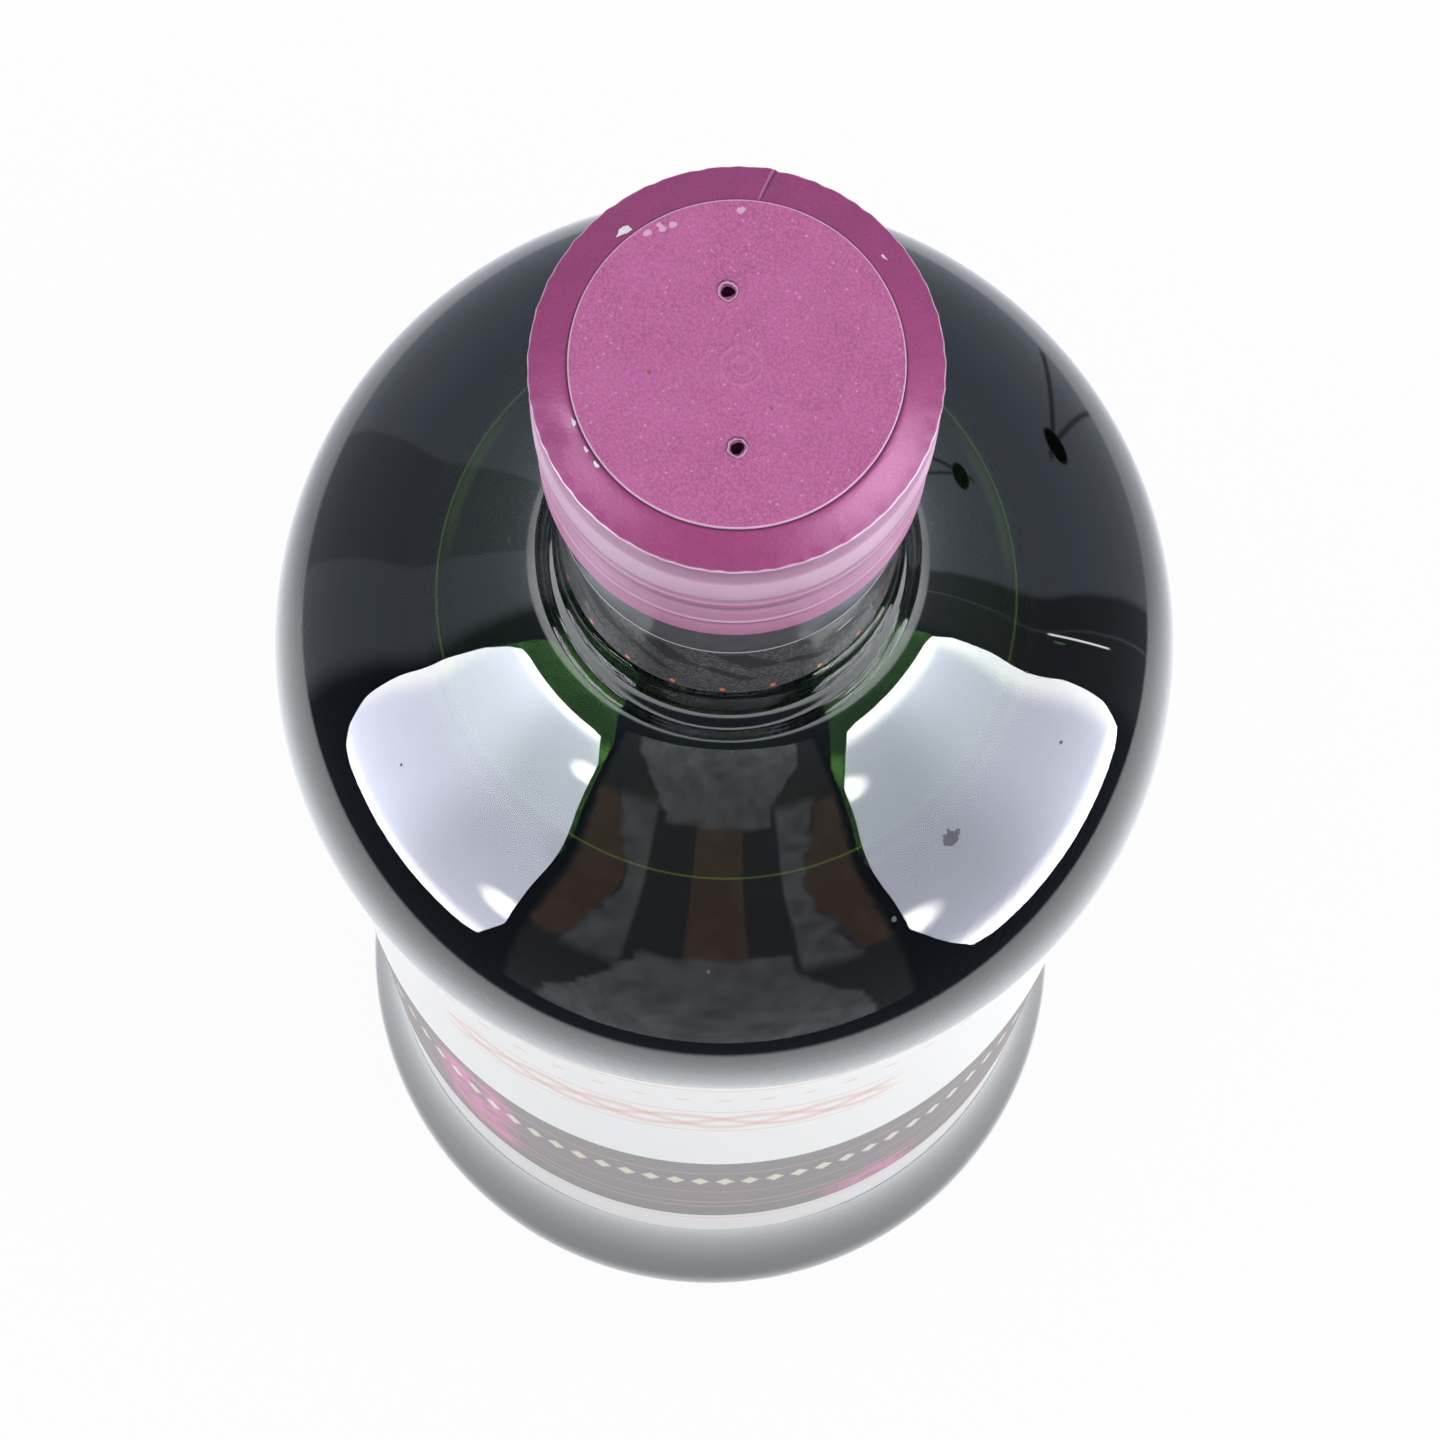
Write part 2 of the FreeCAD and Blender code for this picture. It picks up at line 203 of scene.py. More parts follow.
def outer_wall():
    """Outside of the glass, from the middle of the punt up to the lip.

    A fair curve leads from the dome's arc into the throat's, so gloss has no kink there,
    and a low moulded bead runs round the foot of the neck.
    """
    punt_arc = (FOOT_IN ** 2 + PUNT ** 2) / (2 * PUNT)
    flare_mid = WIDEST - FLARE_HEEL_ARC * (1 - math.cos(FLARE_TURN))
    ring = 0.6
    dome_turn = DOME_TURN - DOME_FAIRING / DOME_ARC
    throat_turn = DOME_TURN - DOME_FAIRING / THROAT_ARC
    dome = outline(
        (0, PUNT),
        (FOOT_IN - ring, 0.35, punt_arc, RIGHT),
        (FOOT_IN + ring, 0, 1.4, LEFT),
        (FOOT_OUT, 0),
        (WIDEST, HEEL, HEEL, LEFT),
        (flare_mid, HEEL + FLARE_HEEL_ARC * math.sin(FLARE_TURN), FLARE_HEEL_ARC, LEFT),
        (PANEL_FOOT, PANEL_FOOT_Z, FLARE_PANEL_ARC, RIGHT),
        (PANEL_TOP, PANEL_TOP_Z),
        (PANEL_TOP + TUCK / 2, PANEL_TOP_Z + TUCK_RISE / 2, TUCK_ARC, RIGHT),
        (WIDEST, SHOULDER_Z, TUCK_ARC, LEFT),
        (DOME_CENTRE + DOME_ARC * math.cos(dome_turn),
         SHOULDER_Z + DOME_ARC * math.sin(dome_turn), DOME_ARC, LEFT),
    )
    throat = outline(
        (DOME_END + THROAT_ARC * (math.cos(DOME_TURN) - math.cos(throat_turn)),
         DOME_END_Z + THROAT_ARC * (math.sin(DOME_TURN) - math.sin(throat_turn))),
        (SWEEP, SWEEP_Z, THROAT_ARC, RIGHT),
    )
    steps = 30
    for step in range(1, steps + 1):
        turn = SWEEP_TURN * (1 - step / steps)
        throat.append((NECK + SWEEP_ARC * (1 - math.cos(turn)),
                       NECK_Z - SWEEP_ARC * math.sin(turn)))
    throat = [(radius + BEAD * math.exp(-((height - BEAD_Z) / BEAD_REACH) ** 2), height)
              for radius, height in throat]
    neck = [(NECK_TOP, NECK_TOP_Z), (LIP, LIP_FOOT_Z), (LIP, LIP_Z)]
    return dome + fair(dome[-1], dome_turn, throat[0], throat_turn) + throat[1:] + neck


def inner_wall(sink=0.0):
    """Inside of the glass from the middle of its floor up to the dome's end.

    A sink above zero moves it that far into the glass.
    """
    wall = WALL - sink
    arc = DOME_ARC - wall
    corner = INNER_CORNER + sink
    foot = PANEL_FOOT - wall
    tuck_mid = PANEL_TOP + TUCK / 2
    return outline(
        (0, FLOOR_Z - sink),
        (foot - corner, FLOOR_Z - sink),
        (foot, FLOOR_Z - sink + corner, corner, LEFT),
        (foot, PANEL_FOOT_Z),
        (PANEL_TOP - wall, PANEL_TOP_Z),
        (tuck_mid - wall, PANEL_TOP_Z + TUCK_RISE / 2, TUCK_ARC, RIGHT),
        (WIDEST - wall, SHOULDER_Z, TUCK_ARC, LEFT),
        (DOME_CENTRE + arc * math.cos(DOME_TURN),
         SHOULDER_Z + arc * math.sin(DOME_TURN), arc, LEFT),
    )


def bore():
    """Inside of the throat and neck, from the lip down to the dome's end."""
    arc = DOME_ARC - WALL
    end = DOME_CENTRE + arc * math.cos(DOME_TURN)
    end_z = SHOULDER_Z + arc * math.sin(DOME_TURN)
    throat = (end - BORE) / (1 - math.cos(DOME_TURN))
    return outline(
        (BORE, LIP_Z),
        (BORE, end_z + throat * math.sin(DOME_TURN)),
        (end, end_z, throat, LEFT),
    )


# ---------------------------------------------------------------- meshes

def turned(name, points, sides, shape=None):
    """Solid made by turning an outline that starts and ends on the axis.

    shape(radius, height, angle) may move a point; angles start at -Y and grow towards +X.
    """
    verts, rings = [], []
    for radius, height in points:
        if radius < 1e-6:
            rings.append([len(verts)])
            verts.append((0, 0, height * MM))
            continue
        rings.append(list(range(len(verts), len(verts) + sides)))
        for side in range(sides):
            angle = math.tau * side / sides
            r, z = shape(radius, height, angle) if shape else (radius, height)
            verts.append((r * math.sin(angle) * MM, -r * math.cos(angle) * MM, z * MM))
    faces = []
    for lower, upper in zip(rings, rings[1:]):
        for side in range(sides):
            after = (side + 1) % sides
            corners = [lower[side % len(lower)], lower[after % len(lower)],
                       upper[after % len(upper)], upper[side % len(upper)]]
            faces.append(list(dict.fromkeys(corners)))
    return new_piece(name, verts, faces)


def new_piece(name, verts, faces):
    """Smooth-shaded object whose faces turn outwards."""
    mesh = bpy.data.meshes.new(name)
    mesh.from_pydata(verts, [], [face for face in faces if len(face) > 2])
    shell = bmesh.new()
    shell.from_mesh(mesh)
    bmesh.ops.recalc_face_normals(shell, faces=shell.faces)
    shell.to_mesh(mesh)
    shell.free()
    mesh.shade_smooth()
    mesh.set_sharp_from_angle(angle=SHARP)
    piece = bpy.data.objects.new(name, mesh)
    bpy.context.scene.collection.objects.link(piece)
    return piece


def add_prism(verts, faces, foot, top):
    """Add a solid between two rings of points in millimetres, the one over the other."""
    base, sides = len(verts), len(foot)
    verts += [tuple(part * MM for part in corner) for corner in foot + top]
    low, high = range(base, base + sides), range(base + sides, base + 2 * sides)
    faces += [list(reversed(low)), list(high)]
    for side in range(sides):
        after = (side + 1) % sides
        faces.append([low[side], low[after], high[after], high[side]])


def cut_vents(piece, foot_z, top_z):
    """Pierce a piece with the two slightly ragged vents."""
    verts, faces = [], []
    sides = 20
    for vent, (x, y) in enumerate(VENTS):
        ring = []
        for side in range(sides):
            angle = math.tau * side / sides
            lobe = 0.09 * math.sin(2 * angle + vent) + 0.06 * math.sin(3 * angle + 2.1 * vent)
            radius = VENT_RADIUS * (0.92 + lobe)
            ring.append((x + radius * math.cos(angle), y + radius * math.sin(angle)))
        add_prism(verts, faces, *([(*corner, z) for corner in ring] for z in (foot_z, top_z)))
    cutter = new_piece("vent_cutter", verts, faces)
    cut = piece.modifiers.new("vents", "BOOLEAN")
    cut.operation = "DIFFERENCE"
    cut.solver = "EXACT"
    cut.object = cutter
    shaped = bpy.data.meshes.new_from_object(
        piece.evaluated_get(bpy.context.evaluated_depsgraph_get()))
    piece.modifiers.clear()
    piece.data = shaped
    bpy.data.objects.remove(cutter)
    shaped.set_sharp_from_angle(angle=SHARP)


def dress(piece, slot, *materials, stands_for=None):
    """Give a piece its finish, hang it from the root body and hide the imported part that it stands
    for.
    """
    for material in materials:
        piece.data.materials.append(material)
    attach(piece, "root")
    if stands_for:
        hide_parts(stands_for)


def eased(value, low, high):
    """0 below low, 1 above high and a smooth rise between."""
    share = min(max((value - low) / (high - low), 0.0), 1.0)
    return share * share * (3 - 2 * share)


# ---------------------------------------------------------------- shader graphs

class Wire:
    """Output of a shader node. Arithmetic on it adds Math nodes."""

    def __init__(self, graph, socket):
        self.graph = graph
        self.socket = socket

    def __add__(self, other):
        return self.graph.maths("ADD", self, other)

    __radd__ = __add__

    def __sub__(self, other):
        return self.graph.maths("SUBTRACT", self, other)

    def __rsub__(self, other):
        return self.graph.maths("SUBTRACT", other, self)

    def __mul__(self, other):
        return self.graph.maths("MULTIPLY", self, other)

    def __truediv__(self, other):
        return self.graph.maths("DIVIDE", self, other)

    def __neg__(self):
        return self * -1

    def __abs__(self):
        return self.graph.maths("ABSOLUTE", self)


class Graph:
    """Node tree of a material, a world or a lamp, written as expressions."""

    def __init__(self, owner):
        owner.use_nodes = True
        self.tree = owner.node_tree
        self.tree.nodes.clear()

    def node(self, kind, settings=None, sockets=None, output=0):
        """Add a node: settings first, then the values or links of its sockets."""
        made = self.tree.nodes.new(kind)
        for key, value in (settings or {}).items():
            setattr(made, key, value)
        for key, value in (sockets or {}).items():
            target = made.inputs[key] if isinstance(key, int) else next(
                socket for socket in made.inputs if key in (socket.identifier, socket.name))
            if isinstance(value, Wire):
                self.tree.links.new(value.socket, target)
            else:
                target.default_value = value
        if not made.outputs:
            return None
        found = made.outputs[output] if isinstance(output, int) else next(
            socket for socket in made.outputs if output in (socket.identifier, socket.name))
        return Wire(self, found)

    def maths(self, operation, *values):
        return self.node("ShaderNodeMath", {"operation": operation}, dict(enumerate(values)))

    def vectors(self, operation, *values, output=0):
        return self.node("ShaderNodeVectorMath", {"operation": operation},
                         dict(enumerate(values)), output)

    def larger(self, first, second):
        return self.maths("MAXIMUM", first, second)

    def smaller(self, first, second):
        return self.maths("MINIMUM", first, second)

    def root(self, value):
        return self.maths("SQRT", value)

    def degrees(self, opposite, beside):
        """Angle in degrees from two sides of a right-angled triangle."""
        return self.maths("ARCTAN2", opposite, beside) * (180 / math.pi)

    def rise(self, value, low, high):
        """0 at low, 1 at high, smooth between; low may be the larger."""
        return self.node("ShaderNodeMapRange", {"interpolation_type": "SMOOTHSTEP"},
                         {"Value": value, "From Min": low, "From Max": high})

    def band(self, value, low, high, soft):
        """1 between low and high, with soft edges."""
        return self.rise(value, low - soft, low + soft) * self.rise(value, high + soft, high - soft)

    def line(self, value, middle, half, soft):
        """1 within half of the middle, with soft edges."""
        return self.band(value, middle - half, middle + half, soft)

    def mix(self, factor, first, second):
        """Colour that turns from the first to the second as the factor goes from 0 to 1."""
        return self.node("ShaderNodeMix", {"data_type": "RGBA"},
                         {"Factor_Float": factor, "A_Color": first, "B_Color": second},
                         "Result_Color")

    def blend(self, factor, first, second):
        """Surface that turns from the first to the second as the factor goes from 0 to 1."""
        return self.node("ShaderNodeMixShader", sockets={0: factor, 1: first, 2: second})

    def glow(self, colour):
        return self.node("ShaderNodeEmission", sockets={"Color": colour, "Strength": 1.0})

    def diffuse(self, colour):
        return self.node("ShaderNodeBsdfDiffuse", sockets={"Color": colour})

    def ray(self, kind):
        """1 for rays of a kind, such as Glossy, and 0 for others."""
        return self.node("ShaderNodeLightPath", output=f"Is {kind} Ray")

    def place(self):
        """Point of the surface in metres, and its parts x, y and z."""
        point = self.node("ShaderNodeTexCoord", output="Object")
        return (point, *self.parts(point))

    def parts(self, vector):
        """The parts x, y and z of a vector."""
        split = self.node("ShaderNodeSeparateXYZ", sockets={0: vector})
        return [Wire(self, socket) for socket in split.socket.node.outputs]

    def grain(self, point, size, detail=2.0, rough=0.5, warp=0.0):
        """Noise from 0 to 1 whose lumps are about size millimetres."""
        return self.node("ShaderNodeTexNoise", {"normalize": True},
                         {"Vector": point, "Scale": 1 / (size * MM), "Detail": detail,
                          "Roughness": rough, "Distortion": warp})

    def away(self, point, spot, unit=1.0):
        """Distance from a spot given in millimetres, counted in units of so many millimetres."""
        spot = tuple(part * MM for part in spot)
        return self.vectors("DISTANCE", point, spot, output=1) / (MM * unit)

    def bump(self, height, depth, normal=None):
        """Normal of a surface whose height goes from 0 to depth millimetres."""
        sockets = {"Height": height, "Distance": depth * MM}
        if normal:
            sockets["Normal"] = normal
        return self.node("ShaderNodeBump", sockets=sockets)

    def finish(self, surface, volume=None, kind="Material"):
        """Link the surface, and the volume if there is one, to the output of its kind."""
        output = self.tree.nodes.new("ShaderNodeOutput" + kind)
        self.tree.links.new(surface.socket, output.inputs["Surface"])
        if volume:
            self.tree.links.new(volume.socket, output.inputs["Volume"])


def srgb(red, green, blue):
    """Linear colour, with an alpha of 1, from 0 to 255 display values."""
    def linear(part):
        part /= 255
        return part / 12.92 if part <= 0.04045 else ((part + 0.055) / 1.055) ** 2.4
    return (linear(red), linear(green), linear(blue), 1.0)


def solid(colour, share=1.0):
    """Four-part colour from three parts, darker or lighter by a share."""
    return (*(part * share for part in colour), 1.0)


def new_finish(name):
    """Material, which is never sampled as a lamp, and its graph."""
    material = bpy.data.materials.new(name)
    material.cycles.emission_sampling = "NONE"
    return material, Graph(material)


# ---------------------------------------------------------------- properties

def colour_property(name, description, *display):
    return FloatVectorProperty(name=name, description=description, subtype="COLOR", size=3,
                               min=0.0, max=1.0, default=srgb(*display)[:3])


class BottleGlassSettings(bpy.types.PropertyGroup):
    """Green glass and the drink inside it."""
    tint: colour_property("Glass tint", "Light that a thickness of clear glass lets through",
                          149, 188, 108)
    depth: FloatProperty(name="Tint density", default=600.0, min=0.0,
                         description="How quickly the glass darkens with thickness, per metre")
    drink_tint: colour_property("Drink tint", "Light that a thickness of drink lets through",
                                242, 214, 13)
    drink_depth: FloatProperty(name="Drink density", default=28.0, min=0.0,
                               description="How quickly the drink darkens with depth, per metre")
    # Colour of the painted glow round the drink's edge.
    meniscus_glint: colour_property("Meniscus glint", "Light that the drink's edge gathers",
                                    112, 126, 46)
    meniscus: FloatProperty(name="Meniscus", default=0.0005, unit="LENGTH", subtype="DISTANCE",
                            description="Rise of the drink where it meets the glass")
    sink: FloatProperty(name="Overlap", default=0.00015, unit="LENGTH", subtype="DISTANCE",
                        description="How far the drink reaches into the wall")


class BottleCapsuleSettings(bpy.types.PropertyGroup):
    """Shrunk film over the lip and neck, and the disc on top."""
    film: colour_property("Film", "Coloured film of the head", 148, 60, 113)
    neck_film: colour_property("Neck film", "Dark film of the skirt", 63, 63, 67)
    print_dots: colour_property("Print", "Ring of small dots on the skirt", 226, 120, 78)
    disc: colour_property("Disc", "Matt top disc", 180, 97, 148)
    # Pale cut edge of the disc, partly a painted highlight along it.
    cut_edge_and_highlight: colour_property("Cut edge", "Bare edge of the disc", 226, 198, 218)
    ripple: FloatProperty(name="Rim ripple", default=0.000022, unit="LENGTH", subtype="DISTANCE",
                          description="Unevenness of the shrunk rim")


class BottleLabelSettings(bpy.types.PropertyGroup):
    """Paper label and its print."""
    paper: colour_property("Paper", "White upper field", 221, 220, 217)
    band: colour_property("Band", "Dark lower field", 46, 41, 39)
    copper: colour_property("Copper", "Metallic rules and ornament", 196, 128, 98)
    cream: colour_property("Cream", "Pale ornament on the band", 214, 200, 176)
    accent: colour_property("Accent", "Patches of colour on the band", 196, 84, 146)


class BottleStageSettings(bpy.types.PropertyGroup):
    """Floor, lamps and camera."""
    lens: FloatProperty(name="Focal length", default=142.5, description="In millimetres")
    left_lamp: FloatProperty(name="Left lamp", default=0.9, unit="POWER",
                             description="Power of the lamp in the left softbox")
    right_lamp: FloatProperty(name="Right lamp", default=2.3, unit="POWER",
                              description="Power of the lamp in the right softbox")
    top_lamp: FloatProperty(name="Top lamp", default=4.5, unit="POWER",
                            description="Power of the soft lamp overhead")
    fill: FloatProperty(name="Fill", default=0.32, description="Even light of the room")
    glow: FloatProperty(name="Softbox glow", default=13.0,
                        description="Brightness of a softbox seen in gloss, where 1 is white")


# ---------------------------------------------------------------- finishes

def dust(graph, point, spots):
    """Mask of small ragged flecks, from (x, y, z, radius) in millimetres."""
    radii_away = [graph.away(point, spot, radius) for *spot, radius in spots]
    wobble = (graph.grain(point, 0.45, detail=1.0) - 0.5) * 1.6
    return graph.rise(functools.reduce(graph.smaller, radii_away) + wobble, 1.0, 0.75)


def painted_glint_streak(graph, point, start, end):
    """Mask of a painted highlight, a fine pale streak seen from above, between two spots (x, y) in
    millimetres.
    """
    start, end = (Vector((*spot, 0)) * MM for spot in (start, end))
    flat = graph.vectors("MULTIPLY", point, (1.0, 1.0, 0.0))
    from_start = graph.vectors("SUBTRACT", flat, tuple(start))
    whole = end - start
    along = graph.vectors("DOT_PRODUCT", from_start, tuple(whole.normalized()), output=1) / MM
    reach = graph.vectors("LENGTH", from_start, output=1) / MM
    aside = graph.root(abs(reach * reach - along * along))
    on_dome = graph.rise(graph.parts(point)[2], *(z * MM for z in GLINT_STREAK_FADE_Z))
    return (graph.rise(aside, 0.13, 0.04) * graph.band(along, 0.3, whole.length / MM, 0.3)
            * on_dome)


# Dust on the glass: place and radius. The painted highlight streak runs between two spots seen from
# above.
GLINT_STREAK = ((27.7, -2.6), (33.5, -2.8))
GLINT_STREAK_FADE_Z = (200.3, 200.6)   # keeps the painted highlight streak off the inner wall
GLASS_DUST = (
    (20.19, -20.79, 204.5, 0.86), (15.63, -27.73, 202.5, 0.28), (13.06, -20.54, 206.6, 0.16),
    (-0.1, -32.9, 201.6, 0.17), (-13.1, -16.0, 208.8, 0.17), (29.5, -11.6, 202.6, 0.2),
    (-27.4, -16.2, 202.5, 0.14), (26.2, -6.2, 205.6, 0.12), (-22.0, 24.5, 200.9, 0.2),
    (8.1, 36.4, 196.0, 0.22), (33.0, 17.6, 198.4, 0.16), (-36.0, 4.0, 197.5, 0.18),
)


def glass_finish(look):
    """Dark green bottle glass, wetted inside by the drink, with a little dust on it and a painted
    highlight streak.
    """
    material, graph = new_finish("dark_green_glass")
    point, _, _, _ = graph.place()
    wetted = graph.node("ShaderNodeAttribute", {"attribute_name": "wetted"}, output="Fac")
    waves = graph.bump(graph.grain(point, 14.0, detail=0.0), 0.03)
    smudge = graph.rise(graph.grain(point, 9.0, detail=0.0), 0.45, 0.75)
    glass = graph.node("ShaderNodeBsdfPrincipled", sockets={
        "Base Color": (1.0, 1.0, 1.0, 1.0), "IOR": 1.5, "Transmission Weight": 1.0,
        "Roughness": 0.006 + smudge * 0.014, "Alpha": 1 - wetted, "Normal": waves})
    dusty = graph.blend(dust(graph, point, GLASS_DUST), glass,
                        graph.diffuse(srgb(104, 104, 112)))
    # Painted highlight: a pale diffuse streak on the dome stands in for a glint.
    surface = graph.blend(painted_glint_streak(graph, point, *GLINT_STREAK), dusty,
                          graph.diffuse(srgb(214, 216, 222)))
    volume = graph.node("ShaderNodeVolumeAbsorption", sockets={
        "Color": solid(look.tint), "Density": look.depth})
    graph.finish(surface, volume)
    return material


def drink_finish(look):
    """Amber drink: clear where it wets the wall, glossy at its surface, with a painted glow round
    its edge.
    """
    material, graph = new_finish("whisky")
    point, x, y, _ = graph.place()
    surface_share = graph.node("ShaderNodeAttribute", {"attribute_name": "surface"}, output="Fac")
    radius = graph.root(x * x + y * y) / MM
    aside = abs(graph.degrees(x, -y))
    # Painted light: a thin ring at the drink's edge, and a fainter, broader ring at both sides,
    # glow in the meniscus glint's colour for the light that the meniscus gathers.
    painted_side_glow = graph.line(radius, FILL - 1.8, 0.45, 0.4) * graph.band(aside, 98.0, 125.0, 8.0) * 0.35
    film = graph.larger(graph.line(radius, FILL - 1.15, 0.07, 0.06), painted_side_glow)
    ripple = graph.bump(graph.grain(point, 22.0, detail=0.0), 0.02)
    surface = graph.node("ShaderNodeBsdfPrincipled", sockets={
        "Base Color": (1.0, 0.98, 0.94, 1.0), "IOR": 1.36, "Transmission Weight": 1.0,
        "Roughness": 0.004 + graph.grain(point, 30.0, detail=0.0) * 0.004,
        "Alpha": surface_share,
        "Emission Color": graph.mix(film, (0.0, 0.0, 0.0, 1.0), solid(look.meniscus_glint)),
        "Emission Strength": 1.0, "Normal": ripple})
    volume = graph.node("ShaderNodeVolumeAbsorption", sockets={
        "Color": solid(look.drink_tint), "Density": look.drink_depth})
    graph.finish(surface, volume)
    return material


# Painted reflections of the softboxes and painted shade in the grooves down the shrunk head's side:
# millimetres below the rim, and the colour painted there.
HEAD_LIGHT_AND_SHADE_BANDS = (
    (1.12, 1.62, 0.07, srgb(232, 206, 224)), (1.9, 4.7, 0.5, srgb(114, 40, 92)),
    (5.4, 10.7, 0.5, srgb(190, 146, 176)), (10.85, 11.6, 0.1, srgb(112, 42, 90)),
    (11.9, 12.9, 0.15, srgb(192, 142, 176)), (14.7, 15.6, 0.12, srgb(44, 8, 32)),
    (16.9, 18.1, 0.4, srgb(156, 92, 136)), (19.05, 19.6, 0.08, srgb(186, 140, 172)),
    (19.75, 20.35, 0.1, srgb(56, 12, 40)),
)


def film_parts(graph):
    """What both films share: the point, its height, radius, turn in degrees, and a grain."""
    point, x, y, z = graph.place()
    return (point, z / MM, graph.root(x * x + y * y) / MM, graph.degrees(x, -y),
            graph.grain(point, 2.6, detail=5.0, rough=0.6))


def film_relief(graph, point, share=1.0):
    """Fine dimples over the soft upright flutter of shrunk film."""
    flutter = graph.grain(graph.vectors("MULTIPLY", point, (1.0, 1.0, 0.12)), 1.1, detail=2.0)
    return graph.bump(graph.grain(point, 0.28, detail=1.0), 0.012 * share,
                      graph.bump(flutter, 0.03 * share))


def head_finish(look):
    """Coloured satin film of the head: painted bands of reflection and shade down its side, a
    painted highlight along the rim's edge, painted shadow beside the disc, and a seam.
    """
    material, graph = new_finish("capsule_head_film")
    point, height, radius, turn, mottle = film_parts(graph)
    colour = graph.mix(graph.rise(mottle, 0.3, 0.75), solid(look.film), solid(look.film, 0.84))
    below = RIM_Z - height
    side = graph.rise(radius, HEAD - 0.34, HEAD - 0.2)
    side = graph.larger(side, graph.rise(below, 1.4, 1.8))
    # Band by band, painted reflection or painted shade over the head's side.
    for high, low, soft, shade in HEAD_LIGHT_AND_SHADE_BANDS:
        painted_band = graph.band(below, high, low, soft) * (0.72 + mottle * 0.3)
        colour = graph.mix(painted_band * side, colour, shade)
    glints = graph.rise(graph.grain(point, 0.16), 0.5, 0.9)
    colour = graph.mix(glints * 0.3, colour, srgb(196, 130, 170))
    # Painted shadow: a dark ring on the rim just outside the disc, where the disc's edge shades it.
    painted_shadow_by_disc = graph.rise(radius, DISC_RADIUS + 0.24, DISC_RADIUS + 0.06)
    painted_shadow_by_disc = painted_shadow_by_disc * graph.rise(below, 1.0, 0.6)
    colour = graph.mix(painted_shadow_by_disc * 0.85, colour, srgb(62, 20, 46))
    # Lap of the film at the back, a dark line with a pale lip.
    seam = turn - SEAM - (HEAD - radius) * SEAM_LEAN
    on_rim = graph.rise(radius, SEAT, SEAT + 0.3) * graph.rise(below, 3.0, 1.5)
    colour = graph.mix(graph.line(seam, 0.0, 0.3, 0.25) * on_rim * 0.75, colour, srgb(70, 28, 56))
    colour = graph.mix(graph.line(seam, 0.9, 0.25, 0.3) * on_rim * 0.5, colour, srgb(206, 150, 190))
    graph.finish(graph.node("ShaderNodeBsdfPrincipled", sockets={
        "Base Color": colour, "Roughness": 0.3 + mottle * 0.12, "Specular IOR Level": 0.4,
        "Coat Weight": 0.1, "Coat Roughness": 0.25, "Normal": film_relief(graph, point)}))
    return material


def skirt_finish(look):
    """Dark film down the neck: a pale line round it, leaning marks below it and a ring of dots."""
    material, graph = new_finish("capsule_skirt_film")
    point, height, _, turn, mottle = film_parts(graph)
    smooth = graph.mix(graph.rise(mottle, 0.3, 0.8), solid(look.neck_film), srgb(55, 55, 59))
    printed = graph.mix(graph.rise(graph.grain(point, 0.3, detail=2.0, rough=0.7), 0.42, 0.64),
                        srgb(28, 28, 29), srgb(86, 84, 84))
    colour = graph.mix(graph.rise(height, PALE_LINE_Z - 0.4, PALE_LINE_Z + 0.2), printed, smooth)
    colour = graph.mix(skirt_marks(graph, turn, height), colour, srgb(6, 6, 7))
    colour = graph.mix(graph.line(height, PALE_LINE_Z, 0.1, 0.05), colour, srgb(226, 226, 230))
    scratch = graph.away(point, (9.6, -10.28, 240.4))
    stretched = graph.line(turn, 43.0, 3.2, 1.0)
    stretched = stretched * graph.line(height - turn * 0.06, 238.0, 0.16, 0.12)
    colour = graph.mix(stretched * graph.rise(scratch, 1.4, 1.0), colour, srgb(226, 226, 228))
    colour = graph.mix(skirt_dots(graph, turn, height), colour, solid(look.print_dots))
    graph.finish(graph.node("ShaderNodeBsdfPrincipled", sockets={
        "Base Color": colour, "Roughness": 0.4 + mottle * 0.1, "Specular IOR Level": 0.02,
        "Coat Weight": 0.3, "Coat Roughness": 0.1, "Normal": film_relief(graph, point, 0.3)}))
    return material


def skirt_marks(graph, turn, height):
    """Row of leaning dark bars of uneven length round the skirt."""
    cell = graph.maths("FLOORED_MODULO", turn + (height - 241.0) * 2.2, 27.0)
    bar = graph.band(cell, 4.0, 15.0, 0.5) * graph.band(height, 238.8, 244.4, 0.2)
    tail = graph.band(cell + (height - 237.0) * 0.9, 17.0, 23.0, 0.5)
    tail = tail * graph.band(height, 234.6, 239.4, 0.2)
    return graph.smaller(bar + tail, 1.0) * 0.9


def skirt_dots(graph, turn, height):
    """Ring of small dots near the skirt's edge."""
    pitch, skirt_radius = 17.0, 14.05
    along = graph.maths("FLOORED_MODULO", turn + pitch / 2, pitch) - pitch / 2
    along = along * (skirt_radius * math.pi / 180)
    up = (height - 230.8) * 0.45
    return graph.rise(graph.root(along * along + up * up), 0.3, 0.17)


# Scuffs and specks of the disc: place and radius.
DISC_SCUFFS = ((-0.2, 11.6, DISC_Z, 0.34), (-6.97, 9.55, DISC_Z, 0.3), (-6.0, 10.0, DISC_Z, 0.42),
               (-5.2, 10.3, DISC_Z, 0.3))
DISC_SPECKS = ((-6.41, -0.99, DISC_Z, 0.2), (2.71, -3.29, DISC_Z, 0.17))


